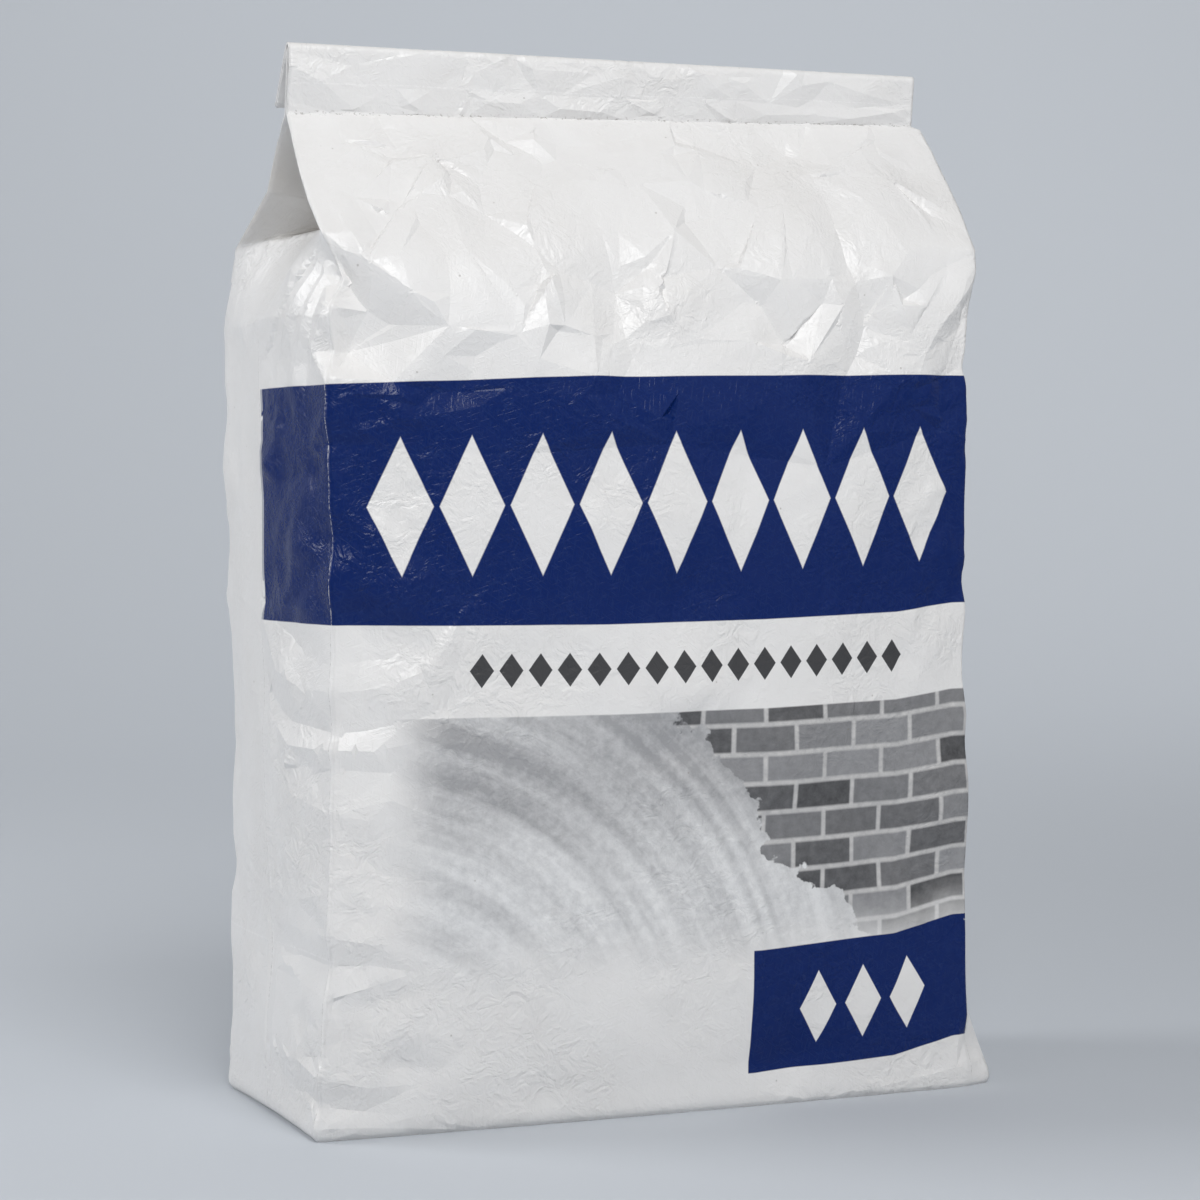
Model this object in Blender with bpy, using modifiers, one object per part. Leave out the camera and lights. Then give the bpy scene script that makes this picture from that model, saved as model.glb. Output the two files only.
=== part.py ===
"""A small gusseted paper bag of gypsum plaster, standing on its pasted block bottom.

The bag is one sheet of paper: a tube with a front panel, a back panel and two side
gussets, closed flat below, drawn in above the powder and folded over to the back.
The powder inside it is a solid of its own. Units are metres, with the front towards -Y.
"""

import math
from typing import NamedTuple

import bmesh
import bpy
import numpy as np

MM = 0.001

# Paper
PAPER = 0.2 * MM
NECK_PITCH = 0.4 * MM
ROOF_PITCH = 0.8 * MM
PANEL_COLUMNS = 12

# Heights above the floor
FOOT_CREASE = 30 * MM
SHOULDER = 137 * MM
TOP = 184.6 * MM

# Where the bag's bounding box is centred, measured from the middle of its block bottom
BOX_CENTRE = (2.03 * MM, -2.28 * MM)

# How much higher and wider the roof's right end is than its left end
RIGHT_RISE = 2.8 * MM
RIGHT_WIDER = 1.045

# Flat neck, folded over to the back
FLAP_LENGTH = 10.4 * MM
FLAP_SPLAY = math.radians(28)
FOLD_STEPS = 4

# Powder
POWDER_GAP = 0.65 * MM
POWDER_SHOULDER = 144 * MM
POWDER_TOP = 152 * MM
MOUND_INSET = 14 * MM


class Side(NamedTuple):
    """A gusset in one section: its points (x, y, z), from the front fold to the back fold."""

    front_fold: tuple
    front_corner: tuple
    middle: tuple
    back_corner: tuple
    back_fold: tuple


class Section(NamedTuple):
    """One section of the paper tube, with how far its panels bulge between their folds."""

    left: Side
    right: Side
    front_bulge: float
    back_bulge: float
    pitch: float = ROOF_PITCH


def filled_side(hand, front, back, height, bulge, flare=0.0):
    """A gusset of the filled part: a shallow arc that may flare out beside its front fold."""
    middle = ((front[0] + back[0]) / 2 + hand * bulge, (front[1] + back[1]) / 2)
    lean = 0.5 - 60 * flare
    front_corner = (
        (front[0] + middle[0]) / 2 + hand * (0.25 * bulge + flare),
        front[1] + (middle[1] - front[1]) * lean,
    )
    back_corner = ((back[0] + middle[0]) / 2 + hand * 0.25 * bulge, (back[1] + middle[1]) / 2)
    return Side(*((x, y, height) for x, y in (front, front_corner, middle, back_corner, back)))


def filled(height, left, right, bulges, flare=0.0):
    """A section of the filled part, its sizes in millimetres.

    left and right give each gusset's x at its front and back folds, then y at the same
    folds. bulges are those of the front, the back and the gussets.
    """
    front, back, side = (bulge * MM for bulge in bulges)
    ends = [
        ((x_front * MM, y_front * MM), (x_back * MM, y_back * MM))
        for x_front, x_back, y_front, y_back in (left, right)
    ]
    return Section(
        filled_side(-1, *ends[0], height, side),
        filled_side(1, *ends[1], height, side, flare * MM),
        front,
        back,
    )


def filled_sections():
    """Sections from the foot, which stands on the floor, up to the shoulder."""
    foot = PAPER / 2
    return [
        filled(foot, (-62, -60.8, -26.4, 25.4), (60.4, 60.2, -27.4, 25.4), (1.2, 0.4, -0.8), 7.2),
        filled(2 * MM, (-62.9, -61.4, -27.5, 26.1), (60.8, 60.8, -27.8, 26.4), (1.4, 0.8, -0.1), 6.8),
        filled(8 * MM, (-62.4, -61.0, -28.6, 25.0), (60.6, 61.0, -27.8, 26.0), (1.8, 1.4, 0.8), 5.0),
        filled(16 * MM, (-61.8, -61.4, -29.6, 24.6), (60.4, 60.6, -28.0, 25.4), (2.4, 1.8, 1.4), 2.6),
        filled(FOOT_CREASE, (-61.4, -61.6, -31.0, 22.8), (60.2, 60.2, -28.4, 24.4), (2.6, 2.2, 0.4), 0.2),
        filled(50 * MM, (-61.0, -60.6, -31.4, 23.6), (60.0, 60.0, -28.6, 24.2), (3.0, 3.0, 2.2)),
        filled(75 * MM, (-60.7, -60.6, -31.6, 24.2), (59.8, 60.0, -28.6, 24.2), (3.4, 3.6, 2.8)),
        filled(100 * MM, (-60.7, -60.6, -31.6, 24.8), (60.0, 60.0, -28.4, 24.6), (3.2, 3.6, 2.6)),
        filled(122 * MM, (-60.7, -60.6, -31.4, 25.8), (60.6, 60.2, -28.0, 25.6), (2.6, 3.0, 2.2)),
        filled(SHOULDER, (-60.8, -60.5, -31.2, 27.1), (61.4, 61.1, -27.8, 27.1), (1.8, 2.0, 1.6)),
    ]


def gathered(left, bulges, share, back_shift=0.0, pitch=ROOF_PITCH):
    """A section of the roof from its left gusset, in millimetres.

    The right gusset mirrors the left one, but is wider and further back, and rises evenly
    towards its folds, by the given shares of the roof's sizes.
    """
    near = Side(*((x * MM, y * MM, z * MM) for x, y, z in left))
    wider, rise = share
    fold_x = near.front_fold[0]
    far = Side(
        *(
            (
                -x * (1 + wider * (RIGHT_WIDER - 1)),
                y + back_shift * MM,
                z + rise * RIGHT_RISE * (0.5 + 0.5 * x / fold_x),
            )
            for x, y, z in near
        )
    )
    front, back = (bulge * MM for bulge in bulges)
    return Section(near, far, front, back, pitch)


def roof_sections():
    """Sections where the panels lean together and the gussets tuck in between them."""
    return [
        gathered(
            ((-60.8, -30.2, 144), (-61.2, -15, 145.4), (-57.6, -0.4, 145.4), (-59.2, 12, 144.8),
             (-60.5, 23.8, 144.4)),
            (1.8, 1.8), (0.6, 0.0), 3.0,
        ),
        gathered(
            ((-60.6, -27.8, 150.7), (-57, -15, 152), (-52, -1, 153.5), (-56.3, 10, 152.5),
             (-60.5, 20.4, 151.6)),
            (1.6, 1.4), (1.0, 0.14), 1.4,
        ),
        gathered(
            ((-60.6, -20.8, 156.5), (-53, -17.4, 155.6), (-41, -6, 153.4), (-50, 1.6, 153.9),
             (-60.5, 10.4, 155.2)),
            (1.3, 0.8), (1.0, 0.86),
        ),
        gathered(
            ((-60.5, -16.2, 161.4), (-48, -12.6, 158), (-37, -7, 156.2), (-47, -3.6, 157.6),
             (-60.5, 1.4, 161.2)),
            (0.9, 0.2), (1.0, 1.0),
        ),
        gathered(
            ((-60.5, -12, 167.6), (-39, -10.2, 165), (-35.4, -9, 164.4), (-39, -8, 165.2),
             (-60.5, -4.6, 168)),
            (0.4, 0.0), (0.8, 1.0),
        ),
        gathered(
            ((-60.6, -9.8, 172.2), (-34, -9.8, 172.2), (-33.2, -9.8, 172.2), (-34, -9.8, 172.2),
             (-60.6, -9.8, 172.2)),
            (0.0, 0.0), (-0.33, 1.0), pitch=NECK_PITCH,
        ),
    ]


def panel(section, end):
    """A panel from its left fold to its right fold, bulged by the powder as a parabola.

    end is -1 for the front and 1 for the back.
    """
    if end < 0:
        left, right, bulge = section.left.front_fold, section.right.front_fold, section.front_bulge
    else:
        left, right, bulge = section.left.back_fold, section.right.back_fold, section.back_bulge
    points = []
    for share in np.linspace(0, 1, PANEL_COLUMNS + 1):
        x, y, z = (a + (b - a) * share for a, b in zip(left, right))
        points.append((x, y + end * (1.5 * section.pitch + bulge * (1 - (2 * share - 1) ** 2)), z))
    return points


def gusset(side, pitch):
    """A gusset from its front fold to its back fold, its halves one pitch apart."""
    shifts = (-0.5, -0.5, -0.5, 0.5, 0.5, 0.5)
    points = (side.front_fold, side.front_corner, side.middle, side.middle, side.back_corner, side.back_fold)
    return [(x, y + shift * pitch, z) for (x, y, z), shift in zip(points, shifts)]


def ring(section, inset=0.0):
    """The whole closed section, counter-clockwise from above, drawn in on every side by the inset."""
    points = (
        panel(section, -1)
        + gusset(section.right, section.pitch)
        + panel(section, 1)[::-1]
        + gusset(section.left, section.pitch)[::-1]
    )
    return [
        (x - math.copysign(inset, x), y - math.copysign(min(inset, abs(y)), y), z) for x, y, z in points
    ]


def at_height(points, height):
    return [(x, y, height) for x, y, _ in points]


def folded_rings(neck):
    """Rings of the flat neck going up, over to the back and down again as the flap."""
    middle_y = sum(y for _, y, _ in neck) / len(neck)
    pivot_y = middle_y + 1.5 * NECK_PITCH + PAPER
    pivot_z = TOP - 3 * NECK_PITCH - 1.5 * PAPER
    turn = math.pi - FLAP_SPLAY
    rings = []
    for angle in np.linspace(0, turn, FOLD_STEPS + 1):
        reach = [(x, pivot_y - y) for x, y, _ in neck]
        rings.append(
            [
                (x, pivot_y - r * math.cos(angle), pivot_z + r * math.sin(angle))
                for x, r in reach
            ]
        )
    out_y = FLAP_LENGTH * math.sin(turn)
    down_z = FLAP_LENGTH * math.cos(turn)
    rings.append([(x, y + out_y, z + down_z) for x, y, z in rings[-1]])
    return rings


def loft(name, rings, close_top):
    """A mesh through the rings, with its foot closed and, if asked, its top too."""
    bm = bmesh.new()
    loops = [[bm.verts.new(point) for point in points] for points in rings]
    for below, above in zip(loops, loops[1:]):
        for i in range(len(below)):
            j = (i + 1) % len(below)
            bm.faces.new((below[i], below[j], above[j], above[i]))
    bm.faces.new(loops[0][::-1])
    if close_top:
        bm.faces.new(loops[-1])
    mesh = bpy.data.meshes.new(name)
    bm.to_mesh(mesh)
    bm.free()
    return mesh


def material(name, colour, roughness):
    """A plain finish."""
    made = bpy.data.materials.new(name)
    made.use_nodes = True
    shader = made.node_tree.nodes["Principled BSDF"]
    shader.inputs["Base Color"].default_value = (*colour, 1)
    shader.inputs["Roughness"].default_value = roughness
    shader.inputs["Metallic"].default_value = 0.0
    return made


def add(mesh, collection, finish):
    """An object of the mesh's name in the collection, moved so that the bag is centred."""
    obj = bpy.data.objects.new(mesh.name, mesh)
    obj.location = (-BOX_CENTRE[0], -BOX_CENTRE[1], 0)
    mesh.materials.append(finish)
    collection.objects.link(obj)
    return obj


def make_paper_bag(collection):
    """The paper tube with its foot, drawn-in roof and folded top, open only at its mouth."""
    rings = [ring(section) for section in filled_sections() + roof_sections()]
    rings += folded_rings(rings[-1])
    bag = add(
        loft("paper_bag", rings, close_top=False),
        collection,
        material("coated_paper", (0.80, 0.79, 0.78), 0.45),
    )
    wall = bag.modifiers.new("paper_thickness", "SOLIDIFY")
    wall.thickness = PAPER
    wall.offset = 0.0
    wall.use_even_offset = False
    return bag


def make_plaster_fill(collection):
    """The powder: the inside of the filled part, with a low mound under the roof."""
    inset = PAPER / 2 + POWDER_GAP
    sections = filled_sections()
    shoulder = ring(roof_sections()[0], inset)
    mound = ring(roof_sections()[0], inset + MOUND_INSET)
    rings = [at_height(ring(sections[0], inset), PAPER + POWDER_GAP)]
    rings += [ring(section, inset) for section in sections[1:]]
    rings += [at_height(shoulder, POWDER_SHOULDER), at_height(mound, POWDER_TOP)]
    return add(
        loft("plaster_fill", rings, close_top=True),
        collection,
        material("gypsum_powder", (0.84, 0.83, 0.80), 0.95),
    )


def main():
    for old in list(bpy.data.objects):
        bpy.data.objects.remove(old)
    collection = bpy.data.collections.new("plaster_bag")
    bpy.context.scene.collection.children.link(collection)
    make_paper_bag(collection)
    make_plaster_fill(collection)


main()
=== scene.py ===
import math
from typing import NamedTuple

import bpy
import numpy as np
from mathutils import Matrix, Vector
from mathutils.geometry import delaunay_2d_cdt


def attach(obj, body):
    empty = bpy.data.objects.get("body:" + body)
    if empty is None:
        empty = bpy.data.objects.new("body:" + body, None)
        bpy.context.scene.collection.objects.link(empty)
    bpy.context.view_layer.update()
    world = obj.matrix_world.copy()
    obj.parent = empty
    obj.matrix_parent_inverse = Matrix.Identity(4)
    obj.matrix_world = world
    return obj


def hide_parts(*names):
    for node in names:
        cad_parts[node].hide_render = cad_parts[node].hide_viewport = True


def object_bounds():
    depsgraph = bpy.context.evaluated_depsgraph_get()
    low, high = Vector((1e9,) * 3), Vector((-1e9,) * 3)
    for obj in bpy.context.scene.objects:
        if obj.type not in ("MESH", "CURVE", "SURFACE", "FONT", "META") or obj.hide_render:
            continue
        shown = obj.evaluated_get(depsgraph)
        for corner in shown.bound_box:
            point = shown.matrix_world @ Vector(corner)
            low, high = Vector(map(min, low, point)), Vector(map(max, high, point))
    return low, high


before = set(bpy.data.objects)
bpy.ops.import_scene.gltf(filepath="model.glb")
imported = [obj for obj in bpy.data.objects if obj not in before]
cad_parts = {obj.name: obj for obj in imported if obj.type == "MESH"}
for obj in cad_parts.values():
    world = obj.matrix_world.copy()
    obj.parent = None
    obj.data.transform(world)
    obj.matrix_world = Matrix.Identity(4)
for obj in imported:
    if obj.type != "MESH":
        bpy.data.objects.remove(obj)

cad_low, cad_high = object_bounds()

# Lengths on the paper are in millimetres. On the sheet, u runs round the bag to the right from
# the middle of the front panel, and v runs up the panel from the edge of the foot.
MM = 0.001
TOP = cad_high.z / MM

# The frame's origin lies under the middle of the bag's box. The points below are measured from
# the middle of the block bottom, and the box's middle lies here.
BOX_CENTRE = (2.03, -2.28, 0.0)

PANEL_HALF = 60.0
GUSSET_HALF = 28.0
FRONT_FOLD = PANEL_HALF
GUSSET_MIDDLE = FRONT_FOLD + GUSSET_HALF
BACK_FOLD = GUSSET_MIDDLE + GUSSET_HALF
BACK_MIDDLE = BACK_FOLD + PANEL_HALF
SHOULDER_V = 137.0
ROOF_V = 151.0
NECK_V = 179.0
NECK_LENGTH = 11.0
FOLD_LENGTH = 2.6
FLAP_LENGTH = 10.4
FLAP_SPLAY = math.radians(28)
STRIP_LEAN = 0.14
LAYER_PITCH = 0.4
CLOSE_PITCH = 0.8
FOLD_SHUT = 0.7

POWDER_FOOT = 1.0
POWDER_TOP = 122.0
MOUND_RISE = 16.0

NET_STRENGTH = 1.75

# Grid: cells across, then rows up the sheet. Above FINE_V the rows are ROW apart, and below it
# only every second or third of them is kept.
FRONT_CELLS = 220
GUSSET_CELLS = 24
BACK_CELLS = 40
ROW = 0.5
FOOT_FINE_V = 36.0
FINE_V = 108.0
NECK_CELLS = 20
TURN_CELLS = 6
FLAP_CELLS = 8
BOTTOM_CELLS = 8


class Side(NamedTuple):
    """A gusset at one height of the sheet: its points (x, y, z), from the front fold to the back."""

    front_fold: tuple
    front_corner: tuple
    middle: tuple
    back_corner: tuple
    back_fold: tuple


class Level(NamedTuple):
    """Where one height v of the sheet lies, with how far the two panels bulge between their folds."""

    v: float
    left: Side
    right: Side
    front_bulge: float
    back_bulge: float
    pitch: float = CLOSE_PITCH


def filled_side(hand, front, back, z, bulge, flare):
    """A gusset of the filled part, a shallow arc whose front corner may flare out near the fold."""
    middle = ((front[0] + back[0]) / 2 + hand * bulge, (front[1] + back[1]) / 2, z)
    lean = 0.5 - 0.06 * flare
    front_corner = (
        front[0] + (middle[0] - front[0]) * 0.5 + hand * (0.25 * bulge + flare),
        front[1] + (middle[1] - front[1]) * lean,
        z,
    )
    back_corner = ((back[0] + middle[0]) / 2 + hand * 0.25 * bulge, (back[1] + middle[1]) / 2, z)
    return Side((*front, z), front_corner, middle, back_corner, (*back, z))


def filled_level(v, front_left, front_right, back_left, back_right, bulges, flare=0.0):
    """A level of the filled part. bulges are those of the front, the back and the gussets."""
    return Level(
        v,
        filled_side(-1, front_left, back_left, v, bulges[2], 0.0),
        filled_side(1, front_right, back_right, v, bulges[2], flare),
        bulges[0],
        bulges[1],
    )


def mirrored(side, x_scale, rise, forward=0.0):
    """The right gusset made from the left one, a little higher and further forward."""
    return Side(*((-x * x_scale, y - forward, z + rise) for x, y, z in side))


SHOULDER_LEFT = Side((-60.8, -31.2, 137), (-62.8, -16, 137.6), (-62.4, 0, 137.8), (-61.6, 13, 137.6),
                     (-60.5, 27.1, 137.4))
DENT_LEFT = Side((-58.6, -30.4, 143.4), (-61.2, -15, 145.4), (-57.6, -0.4, 145.4), (-59.2, 12, 144.8),
                 (-60.5, 23.8, 144.4))
SHELF_LEFT = Side((-60.6, -27.8, 150.7), (-57, -15, 152), (-52, -1, 153.5), (-56.3, 10, 152.5),
                  (-60.5, 20.4, 151.6))
RECESS_LEFT = Side((-60.6, -20.8, 156.5), (-51, -17.4, 155.0), (-37, -7, 152.4), (-50, 1.6, 154.4),
                   (-60.5, 10.4, 156.2))
UPPER_LEFT = Side((-60.5, -16.2, 161.4), (-47, -12.6, 157.6), (-34, -7.6, 155.2), (-47, -3.6, 157.4),
                  (-60.5, 1.4, 160.2))
CLOSING_LEFT = Side((-60.5, -12, 167.6), (-39, -10.2, 165), (-35.4, -9, 164.4), (-39, -8, 165.2),
                    (-60.5, -4.6, 168))
PRESSED_LEFT = Side((-60.6, -10.2, 171.6), (-34.4, -10, 171.2), (-33.2, -9.8, 171), (-34.4, -9.6, 171.2),
                    (-60.6, -9.4, 171.6))
NECK_LEFT = Side((-60.6, -9.8, 172.2), (-34, -9.8, 172.2), (-33.2, -9.8, 172.2), (-34, -9.8, 172.2),
                 (-60.6, -9.8, 172.2))

LEVELS = [
    filled_level(0.0, (-62.0, -26.4), (60.4, -27.4), (-60.8, 25.4), (60.2, 25.4), (1.2, 0.4, -0.8), 7.2),
    filled_level(1.2, (-63.0, -27.4), (60.8, -27.8), (-61.4, 26.2), (60.8, 26.4), (1.4, 0.8, -0.2), 7.0),
    filled_level(8.0, (-62.4, -28.6), (60.6, -27.8), (-61.0, 25.0), (61.0, 26.0), (1.8, 1.4, 0.8), 5.0),
    filled_level(16.0, (-61.8, -29.6), (60.4, -28.0), (-61.4, 24.6), (60.6, 25.4), (2.4, 1.8, 1.4), 2.6),
    filled_level(30.0, (-61.4, -31.0), (60.2, -28.4), (-61.6, 22.8), (60.2, 24.4), (2.6, 2.2, 0.4), 0.2),
    filled_level(50.0, (-61.0, -31.4), (60.0, -28.6), (-60.6, 23.6), (60.0, 24.2), (3.0, 3.0, 2.2)),
    filled_level(75.0, (-60.7, -31.6), (59.8, -28.6), (-60.6, 24.2), (60.0, 24.2), (4.0, 3.6, 2.8)),
    filled_level(100.0, (-60.7, -31.6), (60.0, -28.4), (-60.6, 24.8), (60.0, 24.6), (4.4, 3.6, 2.6)),
    filled_level(118.0, (-60.7, -31.4), (60.4, -28.0), (-60.6, 25.8), (60.2, 25.6), (4.0, 3.0, 2.2)),
    Level(SHOULDER_V, SHOULDER_LEFT, mirrored(SHOULDER_LEFT, 1.01, 0.0, -3.4), 1.6, 2.0),
    Level(144.0, DENT_LEFT, mirrored(DENT_LEFT, 1.06, 0.0, -3.0), 0.9, 1.8),
    Level(ROOF_V, SHELF_LEFT, mirrored(SHELF_LEFT, 1.045, 0.4, -1.4), 0.9, 1.4),
    Level(157.0, RECESS_LEFT, mirrored(RECESS_LEFT, 1.045, 2.4), 1.3, 0.8),
    Level(164.0, UPPER_LEFT, mirrored(UPPER_LEFT, 1.045, 3.0), 0.9, 0.2),
    Level(172.5, CLOSING_LEFT, mirrored(CLOSING_LEFT, 1.035, 2.8), 0.4, 0.0),
    Level(178.0, PRESSED_LEFT, mirrored(PRESSED_LEFT, 1.01, 2.8), 0.0, 0.0, 0.5),
    Level(NECK_V, NECK_LEFT, mirrored(NECK_LEFT, 0.985, 2.8), 0.0, 0.0, LAYER_PITCH),
]


def along(levels, v, pick):
    """A level's value or point at every height v, straight between the levels."""
    heights = [level.v for level in levels]
    values = np.array([pick(level) for level in levels], float)
    if values.ndim == 1:
        return np.interp(v, heights, values)
    return np.stack([np.interp(v, heights, column) for column in values.T], axis=-1)


def smooth_rows(values, reach, axis):
    """Weighted mean over a bell-shaped window of that many rows each way, ends held."""
    size = int(math.ceil(2.5 * reach))
    weights = np.exp(-0.5 * (np.arange(-size, size + 1) / reach) ** 2)
    weights /= weights.sum()
    pad = [(0, 0)] * values.ndim
    pad[axis] = (size, size)
    padded = np.pad(values, pad, mode="edge" if axis == 0 else "wrap")
    out = np.zeros_like(values)
    for k, weight in enumerate(weights):
        out += weight * np.take(padded, np.arange(k, k + values.shape[axis]), axis=axis)
    return out


def panel(levels, v, share, end, pitch):
    """A panel: straight from fold to fold at each height, plus a parabola for its bulge.

    end is -1 for the front and 1 for the back, and share runs from the left fold to the right."""
    if end < 0:
        left, right = (along(levels, v, pick) for pick in (lambda a: a.left[0], lambda a: a.right[0]))
        bulge = along(levels, v, lambda a: a.front_bulge)
    else:
        left, right = (along(levels, v, pick) for pick in (lambda a: a.left[4], lambda a: a.right[4]))
        bulge = along(levels, v, lambda a: a.back_bulge)
    points = left[:, None] + (right - left)[:, None] * share[:, None]
    points[..., 1] += end * (1.5 * pitch[:, None] + bulge[:, None] * (1 - (2 * share - 1) ** 2))
    return points


def half_gusset(levels, v, share, hand, end, pitch):
    """Half a gusset: straight from a panel's fold (share 0) to the corner and on to the middle.

    hand is -1 for the left gusset and 1 for the right, end is -1 for the front half and 1 for
    the back. The share is spread evenly along the way."""
    pick = (lambda a: a.left) if hand < 0 else (lambda a: a.right)
    order = (0, 1, 2) if end < 0 else (4, 3, 2)
    fold, corner, middle = (along(levels, v, lambda a, k=k: pick(a)[k]) for k in order)
    to_corner = np.linalg.norm(corner - fold, axis=-1)
    to_middle = np.linalg.norm(middle - corner, axis=-1)
    turn = (to_corner / (to_corner + to_middle + 1e-9))[:, None]
    first = np.clip(share / turn, 0, 1)[..., None]
    second = np.clip((share - turn) / (1 - turn), 0, 1)[..., None]
    way = fold[:, None] + (corner - fold)[:, None] * first + (middle - corner)[:, None] * second
    shut = FOLD_SHUT * (1 - ramp(v, SHOULDER_V, ROOF_V))
    way[..., 1] += end * (pitch[:, None] / 2 + shut[:, None] * (1 - share) ** 2)
    return way


def sheet_columns():
    """The columns' u, and each column's spacing share along its own panel or half gusset."""
    front = np.linspace(0, 1, FRONT_CELLS + 1)
    back = np.linspace(0, 1, BACK_CELLS + 1)
    half = np.linspace(0, 1, GUSSET_CELLS + 1)
    return front, back, half


def tube(levels, v):
    """The paper tube at each height v, from the back's middle round the left to the back's middle."""
    front, back, half = sheet_columns()
    pitch = along(levels, v, lambda a: a.pitch)
    back_panel = panel(levels, v, back, 1, pitch)
    middle = BACK_CELLS // 2
    strips = [
        (back_panel[:, middle::-1], -BACK_MIDDLE + PANEL_HALF * np.linspace(0, 1, middle + 1)),
        (half_gusset(levels, v, half, -1, 1, pitch), -BACK_FOLD + GUSSET_HALF * half),
        (half_gusset(levels, v, half[::-1], -1, -1, pitch), -GUSSET_MIDDLE + GUSSET_HALF * half),
        (panel(levels, v, front, -1, pitch), PANEL_HALF * (2 * front - 1)),
        (half_gusset(levels, v, half, 1, -1, pitch), FRONT_FOLD + GUSSET_HALF * half),
        (half_gusset(levels, v, half[::-1], 1, 1, pitch), GUSSET_MIDDLE + GUSSET_HALF * half),
        (back_panel[:, :middle - 1:-1], BACK_FOLD + PANEL_HALF * np.linspace(0, 1, middle + 1)),
    ]
    points = np.concatenate([points for points, _ in strips], axis=1)
    return points, np.concatenate([u for _, u in strips])


def fold_over(neck):
    """The flat neck carried up, round the top fold to the back and down as the flap.

    Each column goes straight up, then turns about a line behind the neck, then goes straight."""
    ring = neck[-1]
    half_stack = 1.5 * LAYER_PITCH
    middle_y = ring[:, 1].mean()
    pivot_y = middle_y + half_stack + 0.2
    reach = pivot_y - ring[:, 1]
    top_z = TOP - (half_stack * 2 + 0.3)
    up = np.linspace(0, 1, NECK_CELLS + 1)[1:]
    rows = [
        np.stack([ring[:, 0], ring[:, 1], ring[:, 2] + (top_z - ring[:, 2]) * a], axis=-1) for a in up
    ]
    turn = math.pi - FLAP_SPLAY
    for angle in np.linspace(0, turn, TURN_CELLS + 1)[1:]:
        rows.append(
            np.stack(
                [ring[:, 0], pivot_y - reach * math.cos(angle), top_z + reach * math.sin(angle)],
                axis=-1,
            )
        )
    down = np.array([0, math.sin(turn), math.cos(turn)])
    last = rows[-1]
    rows += [last + down * (FLAP_LENGTH * a) for a in np.linspace(0, 1, FLAP_CELLS + 1)[1:]]
    v = np.concatenate([
        NECK_V + NECK_LENGTH * up,
        NECK_V + NECK_LENGTH + FOLD_LENGTH * np.linspace(0, 1, TURN_CELLS + 1)[1:],
        NECK_V + NECK_LENGTH + FOLD_LENGTH + FLAP_LENGTH * np.linspace(0, 1, FLAP_CELLS + 1)[1:],
    ])
    rows = np.stack(rows)
    rows[..., 1] -= STRIP_LEAN * (rows[..., 2] - ring[:, 2])
    return rows, v


def block_bottom(foot):
    """The pasted bottom: the foot's outline drawn in to its middle line, flat on the floor."""
    rows = []
    for a in np.linspace(0, 0.985, BOTTOM_CELLS + 1)[1:][::-1]:
        shrink = np.array([1 - a * GUSSET_HALF / PANEL_HALF, 1 - a, 0])
        rows.append(foot * shrink)
    return np.stack(rows), -GUSSET_HALF * np.linspace(0, 0.985, BOTTOM_CELLS + 1)[1:][::-1]


class Crease(NamedTuple):
    """A straight valley in the sheet between two points, deepest between them.

    Its walls rise over `left` and `right` of the line from the first point to the second.
    A negative depth makes a ridge."""

    u0: float
    v0: float
    u1: float
    v1: float
    depth: float
    left: float
    right: float


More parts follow.
